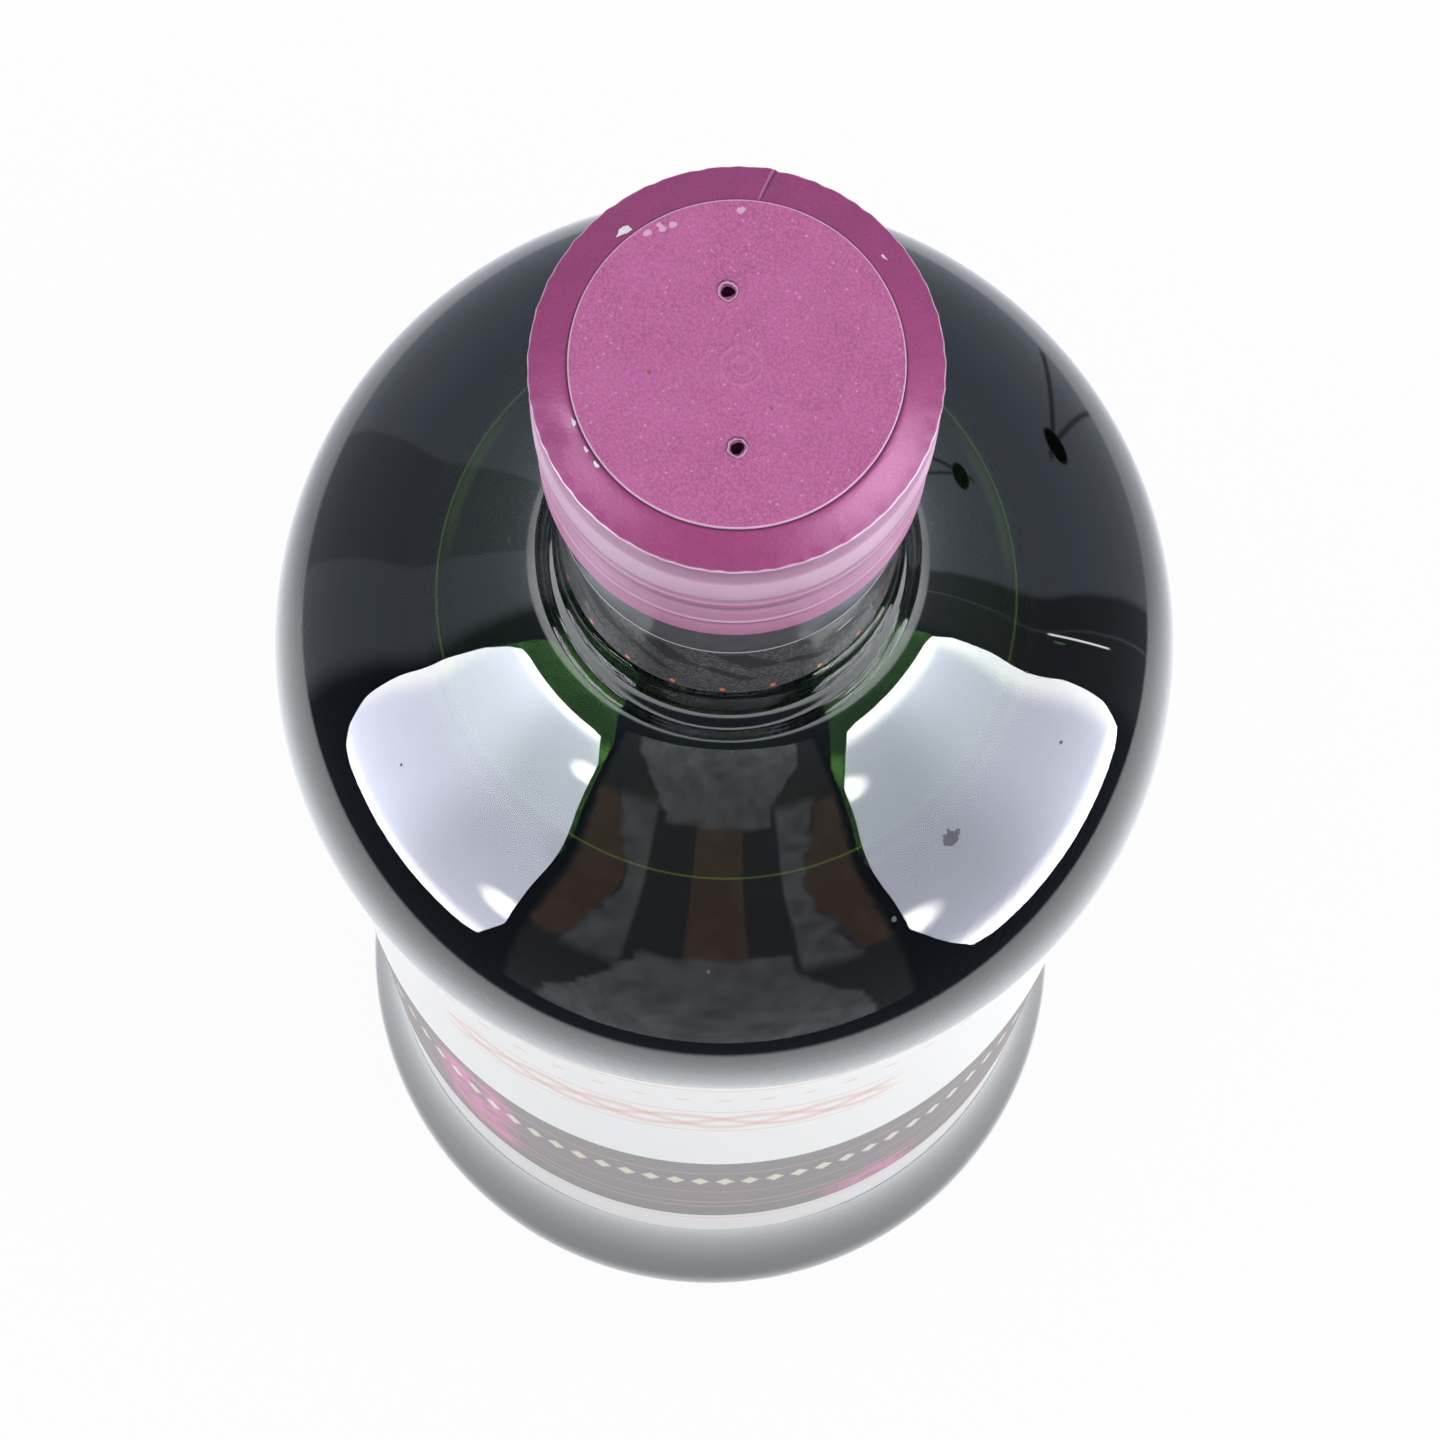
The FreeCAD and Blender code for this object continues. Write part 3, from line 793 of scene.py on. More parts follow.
def disc_finish(look):
    """Matt grained disc: moulding marks, burrs round the vents, scuffs, specks, and a pale cut edge
    that is partly a painted highlight.
    """
    material, graph = new_finish("disc_film")
    point, x, y, _ = graph.place()
    radius = graph.root(x * x + y * y) / MM
    fine = graph.grain(point, 0.2, detail=3.0, rough=0.7)
    cloud = graph.grain(point, 3.5, detail=4.0)
    colour = graph.mix(graph.rise(fine, 0.36, 0.66), solid(look.disc, 0.72), solid(look.disc, 1.12))
    colour = graph.mix(graph.rise(cloud, 0.35, 0.8) * 0.3, colour, srgb(196, 116, 168))
    grit = graph.node("ShaderNodeTexVoronoi", {"feature": "F1"},
                      {"Vector": point, "Scale": 1 / (0.75 * MM), "Randomness": 1.0})
    colour = graph.mix(graph.rise(grit, 0.16, 0.06) * 0.4, colour, srgb(232, 190, 220))
    colour = graph.mix(dust(graph, point, DISC_SCUFFS) * 0.45, colour, srgb(236, 216, 232))
    colour = graph.mix(dust(graph, point, DISC_SPECKS) * 0.8, colour, srgb(122, 84, 60))
    # Pale cut edge round the disc, partly a painted highlight along it.
    edge = graph.rise(radius, DISC_RADIUS - 0.14, DISC_RADIUS - 0.05)
    colour = graph.mix(edge * 0.7, colour, solid(look.cut_edge_and_highlight))
    burrs = vent_burrs(graph, point)
    colour = graph.mix(graph.smaller(burrs, 1.0) * 0.5, colour, srgb(232, 182, 214))
    ring = graph.line(radius, 8.2, 0.05, 0.45) * 0.5
    from_gate = graph.away(point, (0.3, -0.15, DISC_Z))
    gate = graph.line(from_gate, 1.5, 0.06, 0.16) + graph.line(from_gate, 0.7, 0.05, 0.14)
    colour = graph.mix(gate * 0.2, colour, srgb(226, 160, 204))
    relief = graph.bump(ring + gate * 0.5 + burrs * 2.0, 0.2, graph.bump(fine, 0.05))
    graph.finish(graph.node("ShaderNodeBsdfPrincipled", sockets={
        "Base Color": colour, "Roughness": 0.5 + fine * 0.2, "Specular IOR Level": 0.4,
        "Normal": relief}))
    return material


def vent_burrs(graph, point):
    """Height of the ragged burrs round the vents."""
    burrs = []
    for x, y in VENTS:
        ragged = graph.away(point, (x, y, DISC_Z)) + (graph.grain(point, 0.5) - 0.5) * 0.35
        burrs.append(graph.line(ragged, VENT_RADIUS + 0.12, 0.12, 0.08))
    return burrs[0] + burrs[1]


def label_finish(look):
    """Coated paper: white field with a copper ornament over a dark band."""
    material, graph = new_finish("label_paper")
    point, x, y, z = graph.place()
    height, turn = z / MM, graph.degrees(x, -y)
    fibre = graph.grain(graph.vectors("MULTIPLY", point, (1.0, 1.0, 2.6)), 0.5, detail=4.0)
    paper = graph.mix(graph.rise(fibre, 0.3, 0.8) * 0.35, solid(look.paper), srgb(224, 222, 220))
    field = label_field(graph, look, paper, turn, height)
    band = label_band(graph, look, point, turn, height)
    lower = graph.mix(graph.rise(height, 51.6, 52.4), srgb(206, 203, 202), band)
    lower = graph.mix(graph.line(height, 49.2, 0.35, 0.2) * 0.6, lower, solid(look.copper))
    colour = graph.mix(graph.rise(height, 103.6, 104.0), lower, field)
    # Pale cut edges at the label's top and foot, partly a painted highlight along them.
    cut_edge_and_highlight = graph.larger(graph.rise(height, LABEL_FOOT_Z + 0.35, LABEL_FOOT_Z + 0.1),
                            graph.rise(height, LABEL_TOP_Z - 0.35, LABEL_TOP_Z - 0.1))
    colour = graph.mix(cut_edge_and_highlight * 0.5, colour, srgb(240, 238, 234))
    relief = graph.bump(fibre, 0.02, graph.bump(graph.grain(point, 12.0, detail=1.0), 0.12))
    graph.finish(graph.node("ShaderNodeBsdfPrincipled", sockets={
        "Base Color": colour, "Roughness": 0.34 + fibre * 0.16, "Specular IOR Level": 0.3,
        "Coat Weight": 0.1, "Coat Roughness": 0.25, "Normal": relief}))
    return material


def label_field(graph, look, field, turn, height):
    """White field with a ribbon of crossing waves between two rules, under beads and a rule."""
    copper = solid(look.copper)
    ribbon = graph.band(turn, -40.0, 28.0, 3.0)
    for phase in (0.0, 120.0, 240.0):
        wave = graph.maths("SINE", (turn * 11.25 + phase) * (math.pi / 180)) * 4.2 + 141.0
        stroke = graph.line(height - wave, 0.0, 1.3, 1.1) * ribbon
        field = graph.mix(stroke * 0.5, field, copper)
    for rule in (133.6, 148.6):
        field = graph.mix(graph.line(height, rule, 0.3, 0.25) * ribbon * 0.5, field, copper)
    across, up = graph.maths("FLOORED_MODULO", turn, 6.0) - 3.0, height - 157.5
    bead = graph.root(across * across * 0.42 + up * up)
    field = graph.mix(graph.rise(bead, 0.9, 0.5) * 0.35, field, copper)
    return graph.mix(graph.line(height, 164.8, 0.25, 0.2) * 0.5, field, copper)


def label_band(graph, look, point, turn, height):
    """Dark band with lozenges in a row, fine copper rules and patches of colour."""
    mottle = graph.grain(point, 1.6, detail=5.0, rough=0.65)
    band = graph.mix(graph.rise(mottle, 0.35, 0.75) * 0.8, solid(look.band), srgb(70, 58, 54))
    petals = graph.grain(point, 5.5, detail=3.0, warp=1.2)
    left = graph.band(turn, -47.0, -33.0, 3.0) * graph.band(height, 58.0, 99.0, 5.0)
    right = graph.band(turn, 24.0, 37.0, 5.0) * graph.band(height, 52.0, 62.0, 5.0)
    patches = graph.smaller(left + right, 1.0) * graph.rise(petals, 0.38, 0.56)
    band = graph.mix(patches * 0.7, band, solid(look.accent))
    across, up = graph.maths("FLOORED_MODULO", turn + 2.0, 4.0) - 2.0, height - 87.0
    lozenge = graph.rise(abs(across) * 0.62 + abs(up) * 0.3, 1.15, 0.7)
    band = graph.mix(lozenge * 0.8, band, solid(look.cream))
    for rule, weight in ((94.5, 0.5), (76.6, 0.35), (66.2, 0.6), (61.6, 0.6)):
        band = graph.mix(graph.line(height, rule, 0.32, 0.25) * weight, band, solid(look.copper))
    return band


def pale_fleck_finish():
    """Small pale flecks with a fine grain and a slight bump."""
    material, graph = new_finish("pale_fleck")
    point, _, _, _ = graph.place()
    colour = graph.mix(graph.grain(point, 0.3, detail=3.0), srgb(244, 240, 244),
                       srgb(206, 196, 206))
    relief = graph.bump(graph.grain(point, 0.2), 0.03)
    graph.finish(graph.node("ShaderNodeBsdfPrincipled", sockets={
        "Base Color": colour, "Roughness": 0.45, "Normal": relief}))
    return material


# ---------------------------------------------------------------- pieces

class BOTTLE_OT_glass(bpy.types.Operator):
    """Make the green glass bottle"""
    bl_idname = "bottle.glass"
    bl_label = "Glass"

    def execute(self, context):
        points = outer_wall() + bore() + inner_wall()[-2::-1]
        piece = turned("bottle_glass_piece", points, 300)
        wetted = piece.data.attributes.new("wetted", "FLOAT", "POINT")
        inside = WALL / 2
        for vertex, value in zip(piece.data.vertices, wetted.data):
            radius, height = vertex.co.xy.length / MM, vertex.co.z / MM
            value.value = float(height < FILL_Z + 0.4 and within_inner_wall(radius, height, inside))
        dress(piece, "dark_green_glass", glass_finish(context.scene.bottle_glass),
              stands_for="bottle_glass")
        return {"FINISHED"}


def within_inner_wall(radius, height, slack):
    """Whether a point of the half section is on the drink's side of the wall's middle."""
    if height < FLOOR_Z - slack:
        return False
    if height > SHOULDER_Z:
        return math.hypot(radius - DOME_CENTRE, height - SHOULDER_Z) < DOME_ARC - WALL + slack
    panel = PANEL_FOOT + (PANEL_TOP - PANEL_FOOT) * eased(height, PANEL_FOOT_Z, PANEL_TOP_Z)
    return radius < panel + TUCK * eased(height, PANEL_TOP_Z, SHOULDER_Z) - WALL + slack


class BOTTLE_OT_drink(bpy.types.Operator):
    """Make the drink, with its surface drawn up against the glass"""
    bl_idname = "bottle.drink"
    bl_label = "Drink"

    def execute(self, context):
        look = context.scene.bottle_glass
        wall = [point for point in inner_wall(look.sink / MM) if point[1] < FILL_Z - 0.6]
        arc = DOME_ARC - WALL + look.sink / MM
        rise = look.meniscus / MM

        def wall_radius(height):
            return DOME_CENTRE + math.sqrt(arc ** 2 - (height - SHOULDER_Z) ** 2)

        contact = FILL_Z + rise * 0.35
        wall += [(wall_radius(FILL_Z - 0.3), FILL_Z - 0.3), (wall_radius(contact), contact)]
        edge = wall[-1][0]
        surface = []
        for step in range(1, 25):
            inward = 0.12 * step ** 1.25
            surface.append((edge - inward, FILL_Z + rise * 0.35 * math.exp(-inward / 0.9)))
        surface += [(edge * share, FILL_Z) for share in (0.6, 0.4, 0.2, 0.05, 0.0)]
        piece = turned("whisky_piece", wall + surface, 240)
        top = piece.data.attributes.new("surface", "FLOAT", "FACE")
        for polygon, value in zip(piece.data.polygons, top.data):
            value.value = float(polygon.normal.z > 0.5 and polygon.center.z / MM > FILL_Z - 0.1)
        dress(piece, "whisky", drink_finish(look), stands_for="whisky")
        return {"FINISHED"}


class BOTTLE_OT_capsule(bpy.types.Operator):
    """Make the shrunk capsule with its folded rim"""
    bl_idname = "bottle.capsule"
    bl_label = "Capsule"

    def execute(self, context):
        look = context.scene.bottle_capsule
        slope = (NECK_TOP - NECK) / (NECK_TOP_Z - NECK_Z)
        skirt_in = NECK + slope * (SKIRT_Z - NECK_Z)
        skirt, neck_top, lip = skirt_in + FILM, NECK_TOP + FILM, LIP + FILM
        edge_z = RIM_Z - 1.2
        points = outline(
            (0, LIP_Z), (LIP, LIP_Z), (LIP, LIP_FOOT_Z), (NECK_TOP, NECK_TOP_Z),
            (skirt_in, SKIRT_Z), (skirt - 0.05, SKIRT_Z), (skirt + 0.02, SKIRT_Z + 0.12),
            (skirt, SKIRT_Z + 0.6), *((skirt, z) for z in (233, 236, 239, 242, 245, 245.4)),
            (skirt + 0.05, PALE_LINE_Z), (skirt, PALE_LINE_Z + 0.3),
            (skirt, 249), (skirt, 252), (skirt, 254.5),
            (neck_top, NECK_TOP_Z - 0.2), (neck_top + 0.18, NECK_TOP_Z + 0.12, 0.4, RIGHT),
            (lip - 0.1, LIP_FOOT_Z - 0.12), (lip, LIP_FOOT_Z + 0.15, 0.4, LEFT), (lip, 260.8),
            (lip - 0.06, 261.35), (lip + 0.04, 261.7), (lip + 0.05, 262.2), (lip, 262.6),
            (lip, 263.4), (lip + 0.02, 264.6), (lip - 0.02, 265.7), (lip - 0.14, 266.4),
            (lip + 0.02, 267.0), (lip + 0.05, LIP_Z), (HEAD - 0.08, 268.6), (HEAD, 269.2),
            (HEAD + 0.01, 269.8), (HEAD - 0.07, 270.3), (HEAD, 270.9), (HEAD + 0.02, 273.0),
            (HEAD, 276.0), (HEAD - 0.07, 277.2), (HEAD - 0.13, 278.4), (HEAD - 0.06, 279.6),
            (HEAD, edge_z - 0.12), (HEAD + 0.01, edge_z), (HEAD - 0.07, edge_z + 0.12),
            (HEAD - 0.35, edge_z + 0.22), (HEAD - 0.9, edge_z + 0.42), (HEAD - 1.6, edge_z + 0.72),
            (HEAD - 2.2, edge_z + 0.98), (SEAT + 0.2, RIM_Z - 0.05), (SEAT, RIM_Z),
            (SEAT - 0.6, RIM_Z), (6.0, RIM_Z), (0, RIM_Z),
        )
        ripple = look.ripple / MM
        piece = turned("capsule_piece", points, 480,
                       lambda r, z, angle: rim_shape(r, z, angle, ripple, edge_z))
        cut_vents(piece, RIM_Z - 3.0, RIM_Z + 1.0)
        dress(piece, "capsule_film", head_finish(look), skirt_finish(look), stands_for="capsule")
        for face in piece.data.polygons:
            face.material_index = int(face.center.z / MM < LIP_FOOT_Z - 0.1)
        return {"FINISHED"}


def rim_shape(radius, height, angle, ripple, edge_z):
    """Ripples at the folded rim, the lapped seam at the back and a dent at the left."""
    wave = (math.sin(54 * angle + 1.3 * math.sin(5 * angle)) + 0.6 * math.sin(31 * angle + 0.7)
            + 0.5 * math.sin(83 * angle + 2.0))
    near_edge = math.exp(-((height - edge_z) / 0.45) ** 2) * eased(radius, HEAD - 1.0, HEAD - 0.1)
    out = ripple * wave * near_edge
    up = ripple * 0.6 * math.sin(54 * angle + 1.1) * near_edge
    # Lap of the film: a step that fades away from the seam.
    seam = math.radians(SEAM) + math.radians(SEAM_LEAN) * (HEAD - min(radius, HEAD))
    past = (angle - seam) % math.tau
    lap = math.exp(-past / 0.22) * eased(radius, SEAT, SEAT + 0.5)
    if height > LIP_Z:
        out += 0.07 * lap * eased(radius, HEAD - 0.6, HEAD - 0.1)
        up += 0.09 * lap * eased(height, edge_z - 0.3, edge_z + 0.2)
    dent = math.exp(-((angle - math.radians(293)) / 0.11) ** 2)
    dent *= math.exp(-((radius - 13.4) / 0.8) ** 2)
    up -= 0.16 * dent * eased(height, edge_z, edge_z + 0.4)
    return radius + out, height + up


class BOTTLE_OT_disc(bpy.types.Operator):
    """Make the top disc with its two vents"""
    bl_idname = "bottle.disc"
    bl_label = "Top disc"

    def execute(self, context):
        bevel = 0.09
        points = outline(
            (0, RIM_Z), (DISC_RADIUS - 0.05, RIM_Z), (DISC_RADIUS, RIM_Z + 0.05),
            (DISC_RADIUS, DISC_Z - bevel), (DISC_RADIUS - bevel, DISC_Z, bevel, LEFT),
            (DISC_RADIUS - 0.5, DISC_Z), (9.5, DISC_Z), (7.5, DISC_Z), (4.0, DISC_Z), (0, DISC_Z),
        )
        piece = turned("capsule_disc_piece", points, 256)
        cut_vents(piece, RIM_Z - 1.0, DISC_Z + 1.0)
        dress(piece, "disc_film", disc_finish(context.scene.bottle_capsule),
              stands_for="capsule_disc")
        return {"FINISHED"}


# Small pale flecks: place, half length, half width, and turn in radians.
PALE_FLECKS = (
    (-8.75, 9.75, RIM_Z - 0.02, 0.62, 0.3, 0.6), (-11.75, -4.95, RIM_Z, 0.34, 0.14, 1.95),
    (-10.75, -6.95, RIM_Z - 0.02, 0.26, 0.12, 2.15), (-9.95, -8.05, RIM_Z - 0.02, 0.3, 0.13, 2.3),
    (10.48, 8.74, RIM_Z - 0.4, 0.3, 0.08, 2.4),
)


class BOTTLE_OT_pale_flecks(bpy.types.Operator):
    """Lay the small pale flecks beside the disc"""
    bl_idname = "bottle.scraps"
    bl_label = "Film scraps"

    def execute(self, context):
        verts, faces = [], []
        sides = 9
        for x, y, z, long, wide, turn in PALE_FLECKS:
            foot, top = [], []
            for side in range(sides):
                angle = math.tau * side / sides
                stretch = 1 + 0.22 * math.sin(3 * angle + x) + 0.15 * math.sin(5 * angle + y)
                corner = Vector((long * math.cos(angle), wide * math.sin(angle))) * stretch
                corner = Matrix.Rotation(turn, 2) @ corner + Vector((x, y))
                foot.append((*corner, z))
                top.append((*corner, z + 0.09 + 0.05 * math.sin(angle + x)))
            add_prism(verts, faces, foot, top)
        piece = new_piece("pale_flecks", verts, faces)
        dress(piece, "capsule_film", pale_fleck_finish())
        return {"FINISHED"}


class BOTTLE_OT_label(bpy.types.Operator):
    """Wrap the paper label round the panel"""
    bl_idname = "bottle.label"
    bl_label = "Label"

    def execute(self, context):
        slope = (PANEL_TOP - PANEL_FOOT) / (PANEL_TOP_Z - PANEL_FOOT_Z)
        columns, rows = 264, 54
        span = math.tau - LABEL_GAP
        verts, faces = [], []

        def skin(column, row, depth):
            angle = span * (column / columns - 0.5)
            z = LABEL_FOOT_Z + (LABEL_TOP_Z - LABEL_FOOT_Z) * row / rows
            radius = PANEL_FOOT + slope * (z - PANEL_FOOT_Z) + depth
            return (radius * math.sin(angle) * MM, -radius * math.cos(angle) * MM, z * MM)

        for depth in (LABEL_THICK, 0.0):
            for row in range(rows + 1):
                verts += [skin(column, row, depth) for column in range(columns + 1)]

        def patch(*corners):
            faces.append([(side * (rows + 1) + row) * (columns + 1) + column
                          for column, row, side in corners])

        for row in range(rows):
            for column in range(columns):
                for side in (0, 1):
                    patch((column, row, side), (column + 1, row, side),
                          (column + 1, row + 1, side), (column, row + 1, side))
        for column in range(columns):
            for row in (0, rows):
                patch((column, row, 0), (column + 1, row, 0),
                      (column + 1, row, 1), (column, row, 1))
        for row in range(rows):
            for column in (0, columns):
                patch((column, row, 0), (column, row + 1, 0),
                      (column, row + 1, 1), (column, row, 1))
        piece = new_piece("label_piece", verts, faces)
        dress(piece, "label_paper", label_finish(context.scene.bottle_label), stands_for="label")
        return {"FINISHED"}


# ---------------------------------------------------------------- stage

# Faces of the softboxes: metres towards the front and up, from the foot of their middle line.
LEFT_FACE = ((0.2, 0.03), (0.24, 0.045), (0.29, 0.25), (0.305, 0.5), (0.305, 1.15), (-0.325, 1.15),
             (-0.325, 0.65), (-0.29, 0.3), (-0.255, 0.13), (-0.225, 0.05), (-0.19, 0.03))
RIGHT_FACE = ((0.14, 0.0), (0.18, 0.02), (0.215, 0.12), (0.275, 0.33), (0.3, 0.5), (0.3, 1.0),
              (-0.262, 1.0), (-0.26, 0.43), (-0.25, 0.16), (-0.23, 0.025), (-0.2, 0.0))
CLOTH_FACE = ((-0.29, -0.38, 0.0), (0.29, -0.38, 0.0), (0.29, -0.38, 1.1), (-0.29, -0.38, 1.1))

# Light of the room in its parts, where 1 is white.
WHITE = (1.0, 1.0, 1.0, 1.0)
BACK_ROOM = (0.76, 0.86, 1.08, 1.0)
LOW_ROOM = (0.66, 0.73, 0.86, 1.0)
DARK_ROOM = (0.25, 0.28, 0.34, 1.0)
FRONT_ROOM = (0.11, 0.14, 0.19, 1.0)
STAND = (0.03, 0.035, 0.04, 1.0)
CEILING = (0.05, 0.06, 0.08, 1.0)

# Camera: its place from the top of the bottle in metres, and its tilt and roll.
CAMERA_PLACE = (-0.00007, -0.10695, 0.40474)
CAMERA_TILT, CAMERA_ROLL = math.radians(11.212), math.radians(2.561)


def flat_sheet(name, corners, material):
    """Piece of the stage with one flat face."""
    mesh = bpy.data.meshes.new(name)
    mesh.from_pydata(corners, [], [list(range(len(corners)))])
    mesh.materials.append(material)
    sheet = bpy.data.objects.new(name, mesh)
    bpy.context.scene.collection.objects.link(sheet)
    return sheet


def glowing_card(name, corners, shine):
    """Glowing card of the studio, seen only in gloss and through glass."""
    material, graph = new_finish(name + "_glow")
    graph.finish(graph.glow(shine(graph)))
    card = flat_sheet(name, corners, material)
    card.visible_camera = False
    card.visible_diffuse = False
    card.visible_shadow = False


def soft_lamp(name, power, width, height):
    """Lamp that lights the object without being seen in it."""
    data = bpy.data.lights.new(name, "AREA")
    data.shape = "RECTANGLE"
    data.size, data.size_y = width, height
    data.energy = power
    lamp = bpy.data.objects.new(name, data)
    lamp.visible_glossy = False
    lamp.visible_camera = False
    lamp.visible_transmission = False
    bpy.context.scene.collection.objects.link(lamp)
    return lamp


def softbox(name, bearing, distance, face, glow, power, behind, before, crown):
    """Softbox beside the object: its glowing face, and a soft lamp that lights the object.

    Behind, before and crown are the shares of its glow at its far side, near side and top.
    """
    bearing = math.radians(bearing)
    out = Vector((math.sin(bearing), -math.cos(bearing), 0))
    front = Vector((-out.y, out.x, 0)) * (1 if bearing < 0 else -1)
    up = (Vector((0, 0, 1)) - out * math.tan(math.radians(3.0))).normalized()
    foot = out * distance
    bulb = foot + front * 0.26 + up * 0.32
    middle = foot + up * 0.6

    def shine(graph):
        point, _, _, z = graph.place()
        ahead = graph.vectors("DOT_PRODUCT", point, tuple(front), output=1)
        fore, back = max(corner[0] for corner in face), min(corner[0] for corner in face)
        rim = graph.larger(graph.rise(ahead, fore - 0.022, fore) * 0.7,
                           graph.rise(ahead, back + 0.07, back + 0.01))
        rim = graph.larger(rim, graph.rise(z, 0.14, 0.03))
        far, near, top = (solid((0.83, 0.865, 1.03), glow * share)
                          for share in (behind, before, crown))
        dull = graph.mix(graph.rise(ahead, -0.1, 0.1), far, near)
        dull = graph.mix(graph.rise(z, 0.76, 0.92), dull, top)
        hot = graph.rise(graph.vectors("DISTANCE", point, tuple(bulb), output=1), 0.09, 0.02)
        return graph.mix(hot, graph.mix(rim, dull, solid((1.26, 1.28, 1.32), glow)),
                         solid((1.8, 1.8, 1.8), glow))

    glowing_card(name + "_face", [foot + front * ahead + up * high for ahead, high in face], shine)
    lamp = soft_lamp(name + "_lamp", power, 0.6, 1.1)
    aim = (Vector((0, 0, 0.12)) - middle).to_track_quat("-Z", "Y")
    lamp.matrix_world = Matrix.LocRotScale(middle, aim, None)


def cloth_glow(graph):
    """Grey cloth in front with a dark window and brown frames, as gloss shows it."""
    point, x, _, z = graph.place()
    aside = abs(x)
    ragged = (graph.grain(point, 45.0, detail=1.5) - 0.5) * 0.04
    half = 0.205 - graph.rise(z, 0.02, 0.34) * 0.11
    low = graph.rise(aside + ragged - half, 0.006, -0.006) * graph.rise(z + ragged, 0.335, 0.31)
    slope = 0.245 - z * 0.17
    posts = graph.rise(aside, 0.108, 0.118) * graph.rise(aside + ragged - slope, 0.008, -0.008)
    posts = posts * graph.rise(z, 0.24, 0.3)
    frames = graph.rise(aside - slope, 0.0, 0.008) * graph.rise(aside + ragged, 0.262, 0.246)
    frames = frames * graph.rise(z + ragged, 0.27, 0.3)
    rail = graph.band(x, -0.034, 0.048, 0.003) * graph.rise(z, 0.318, 0.324)
    weave = graph.grain(graph.vectors("MULTIPLY", point, (1.0, 1.0, 0.5)), 30.0, warp=0.5)
    grey = graph.mix(weave, (0.34, 0.37, 0.43, 1.0), (1.5, 1.56, 1.72, 1.0))
    brown = graph.mix(weave, (0.48, 0.33, 0.28, 1.0), (1.0, 0.7, 0.6, 1.0))
    colour = graph.mix(graph.rise(aside, 0.27, 0.25), FRONT_ROOM, (0.3, 0.32, 0.37, 1.0))
    colour = graph.mix(graph.larger(frames, rail), colour, brown)
    return graph.mix(graph.larger(low, posts), colour, grey)


def room_colour(graph, toward):
    """Dim room round the table, as gloss shows it in a direction from the shoulder."""
    x, y, z = graph.parts(toward)
    turn = graph.degrees(x, -y)
    tilt = graph.degrees(z, graph.root(x * x + y * y))
    wall = graph.mix(graph.rise(tilt, -25.0, 15.0), LOW_ROOM, BACK_ROOM)
    dark = graph.band(turn, -125.0, -106.0, 0.6) * 0.5 + graph.band(turn, -106.0, -80.0, 0.6) * 0.05
    dark = dark + graph.band(turn, 80.0, 105.5, 0.8)
    wall = graph.mix(graph.smaller(dark, 1.0), wall, DARK_ROOM)
    wall = graph.mix(graph.line(turn, 99.4, 0.2, 0.2) * 0.6, wall, BACK_ROOM)
    # Lamp stand at the back right: its head and two legs.
    across, rise = turn - 128.5, tilt - 2.0
    head = graph.rise(graph.root(across * across + rise * rise * 0.5), 3.4, 2.6)
    leg = graph.line(turn + tilt * 0.37, 130.3, 0.6, 0.4) * graph.band(tilt, -32.0, 9.0, 2.0)
    prop = graph.line(turn + tilt * 0.11, 129.2, 0.4, 0.4) * graph.band(tilt, -34.0, 4.0, 2.0)
    wall = graph.mix(graph.larger(head, graph.larger(leg, prop) * 0.7), wall, STAND)
    return graph.mix(graph.rise(abs(turn), 92.0, 86.0), wall, FRONT_ROOM)


def floor_finish():
    """White to the camera; in gloss a lit sheet, painted dimmer close to the bottle as its shadow,
    with the room beyond it.
    """
    material, graph = new_finish("white_floor")
    point, x, y, _ = graph.place()
    radius = graph.root(x * x + y * y)
    white = graph.glow(WHITE)
    cast = graph.diffuse((0.93, 0.93, 0.93, 1.0))
    seen = graph.blend(0.95 + graph.rise(radius, 0.08, 0.3) * 0.05, cast, white)
    room = room_colour(graph, graph.vectors("SUBTRACT", point, (0.0, 0.0, 0.2)))
    # Painted shadow: the sheet glows dimmer close to the bottle, for the shade that the bottle
    # casts on it.
    near = graph.mix(graph.rise(radius, 0.03, 0.15), (1.06, 1.09, 1.13, 1.0),
                     (1.8, 1.86, 1.97, 1.0))
    near = graph.mix(graph.rise(y, 0.02, 0.12), near, (1.15, 1.18, 1.3, 1.0))
    lit = radius - x * x / (radius * radius) * 0.09
    mirrored = graph.glow(graph.mix(graph.rise(lit, 0.285, 0.25), room, near))
    shown = graph.blend(graph.ray("Glossy"), seen, mirrored)
    shown = graph.blend(graph.ray("Transmission") * 0.5, shown, white)
    # Under the bottle lies a patch of floor that no light reaches.
    graph.finish(graph.blend(graph.rise(radius, 0.0365, 0.0345), shown,
                             graph.glow((0.02, 0.025, 0.02, 1.0))))
    return material


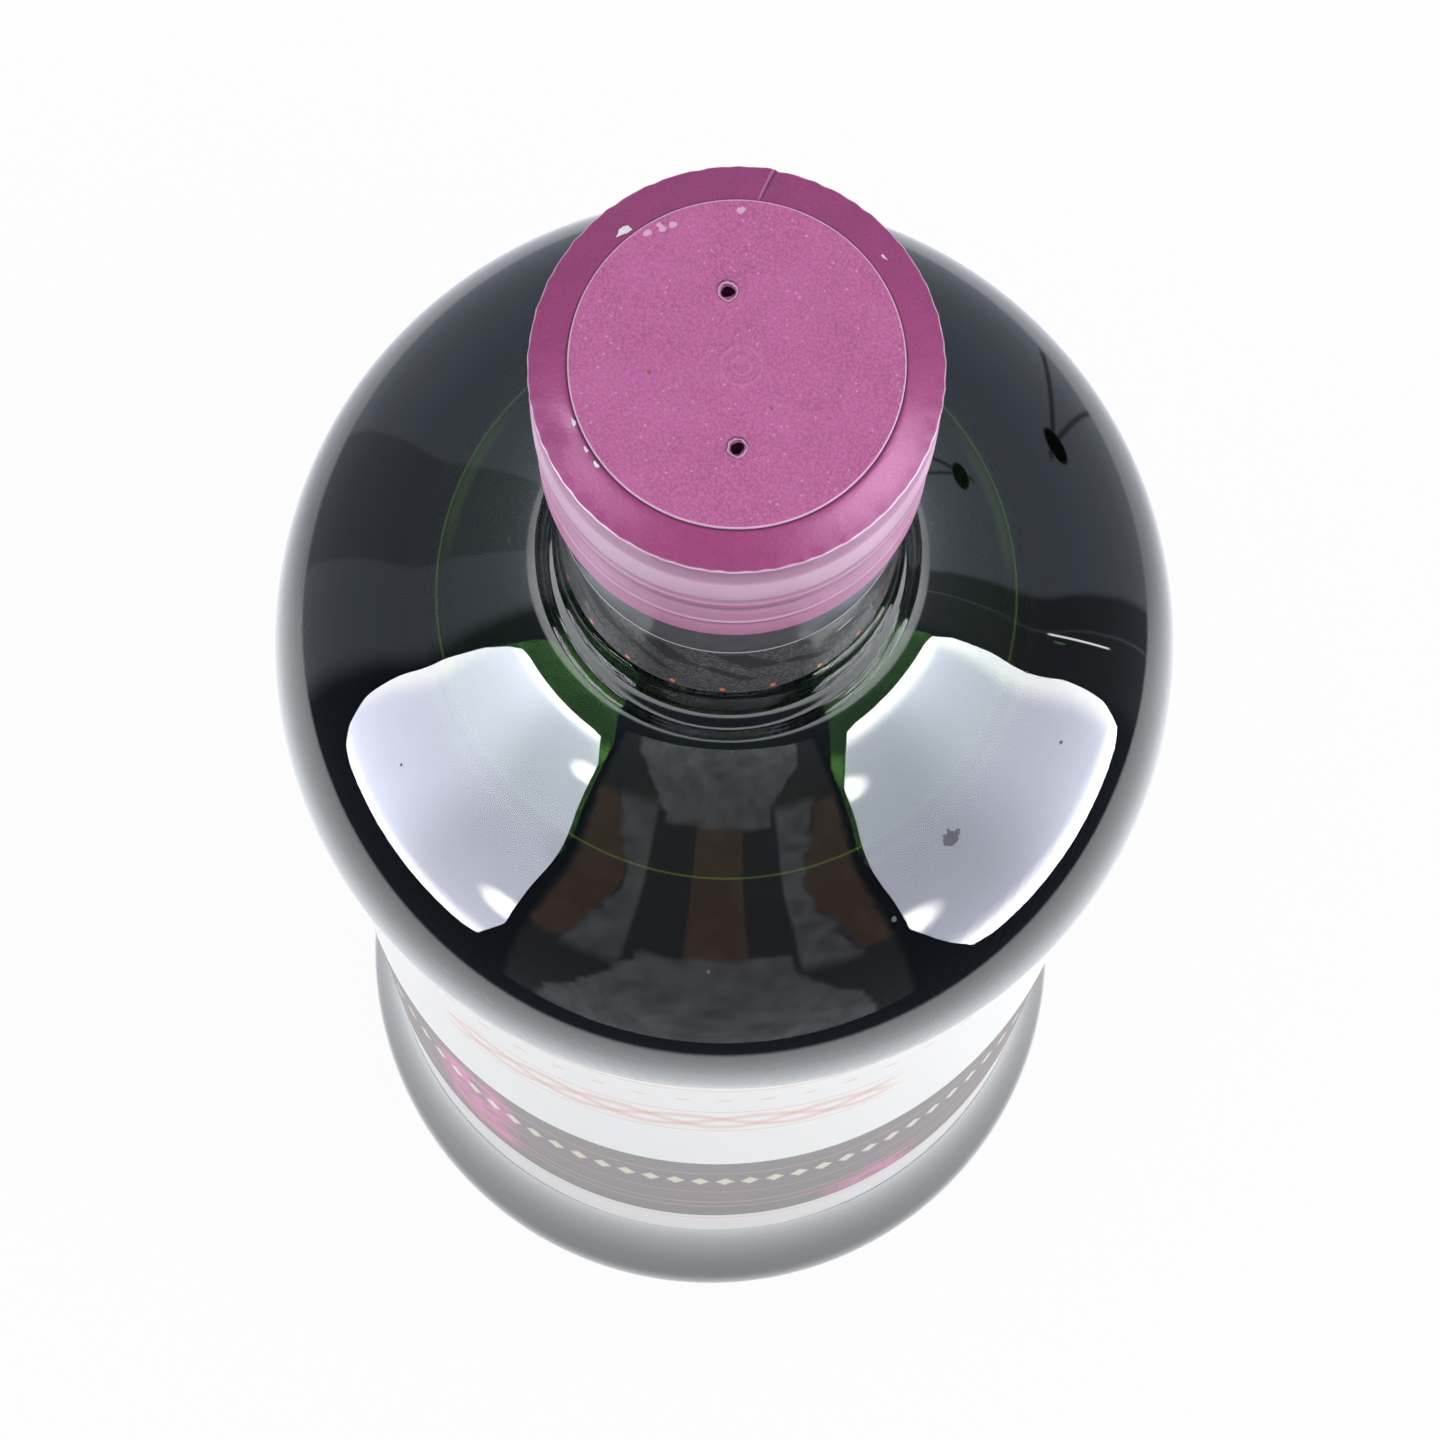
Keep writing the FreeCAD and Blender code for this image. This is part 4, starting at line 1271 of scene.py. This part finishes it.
class BOTTLE_OT_stage(bpy.types.Operator):
    """Set the white floor, the two softboxes, the room and the camera"""
    bl_idname = "bottle.stage"
    bl_label = "Stage"

    def execute(self, context):
        stage = context.scene.bottle_stage
        reach = 6.0
        flat_sheet("floor", [(-reach, -reach, 0), (reach, -reach, 0), (reach, reach, 0),
                             (-reach, reach, 0)], floor_finish())
        softbox("left_softbox", -60.0, 0.70, LEFT_FACE, stage.glow * 1.33, stage.left_lamp,
                behind=1.04, before=0.74, crown=0.36)
        softbox("right_softbox", 64.0, 0.55, RIGHT_FACE, stage.glow * 1.22, stage.right_lamp,
                behind=0.85, before=0.59, crown=1.3)
        soft_lamp("top_lamp", stage.top_lamp, 0.9, 0.9).location = (0, 0.05, 1.25)
        glowing_card("front_cloth", CLOTH_FACE, cloth_glow)
        self.light_room(stage.fill)
        self.place_camera(stage.lens)
        context.scene.view_settings.view_transform = "Standard"
        return {"FINISHED"}

    def light_room(self, fill):
        """Room in gloss, a dark ceiling through glass, white to the camera, even elsewhere."""
        world = bpy.data.worlds.new("studio")
        bpy.context.scene.world = world
        graph = Graph(world)
        direction = graph.node("ShaderNodeTexCoord", output="Generated")
        _, _, z = graph.parts(direction)
        through = graph.ray("Transmission")
        colour = graph.mix(graph.ray("Glossy"), solid((fill,) * 3), room_colour(graph, direction))
        colour = graph.mix(through, colour, CEILING)
        level = through * graph.rise(z, 0.8, 0.45)
        colour = graph.mix(graph.larger(graph.ray("Camera"), level), colour, WHITE)
        graph.finish(graph.node("ShaderNodeBackground", sockets={"Color": colour, "Strength": 1.0}),
                     kind="World")

    def place_camera(self, lens):
        camera_data = bpy.data.cameras.new("camera")
        camera_data.lens = lens
        camera_data.sensor_width = 36.0
        camera_data.clip_start = 0.01
        camera = bpy.data.objects.new("camera", camera_data)
        place = Vector(CAMERA_PLACE) + Vector((0, 0, CAD_BOX[1].z))
        camera.matrix_world = (Matrix.Translation(place) @ Matrix.Rotation(CAMERA_TILT, 4, "X")
                               @ Matrix.Rotation(CAMERA_ROLL, 4, "Z"))
        bpy.context.scene.collection.objects.link(camera)
        bpy.context.scene.camera = camera


# ---------------------------------------------------------------- add-on

class VIEW3D_PT_bottle(bpy.types.Panel):
    """Sizes, colours and makers of the bottle's pieces"""
    bl_label = "Bottle"
    bl_idname = "VIEW3D_PT_bottle"
    bl_space_type = "VIEW_3D"
    bl_region_type = "UI"
    bl_category = "Bottle"

    def draw(self, context):
        layout = self.layout
        for holder in HOLDERS:
            box = layout.box()
            settings = getattr(context.scene, holder)
            for name in settings.__annotations__:
                box.prop(settings, name)
        for operator in OPERATORS:
            layout.operator(operator.bl_idname)


HOLDERS = {
    "bottle_glass": BottleGlassSettings,
    "bottle_capsule": BottleCapsuleSettings,
    "bottle_label": BottleLabelSettings,
    "bottle_stage": BottleStageSettings,
}
OPERATORS = (BOTTLE_OT_glass, BOTTLE_OT_drink, BOTTLE_OT_capsule, BOTTLE_OT_disc,
             BOTTLE_OT_pale_flecks, BOTTLE_OT_label, BOTTLE_OT_stage)


def register():
    for made in (*HOLDERS.values(), *OPERATORS, VIEW3D_PT_bottle):
        bpy.utils.register_class(made)
    for holder, settings in HOLDERS.items():
        setattr(bpy.types.Scene, holder, PointerProperty(type=settings))


def unregister():
    for holder in HOLDERS:
        delattr(bpy.types.Scene, holder)
    for made in (VIEW3D_PT_bottle, *OPERATORS[::-1], *HOLDERS.values()):
        bpy.utils.unregister_class(made)


def main():
    register()
    for operator in OPERATORS:
        area, name = operator.bl_idname.split(".")
        getattr(getattr(bpy.ops, area), name)()
    bpy.context.view_layer.update()


if __name__ == "__main__":
    main()
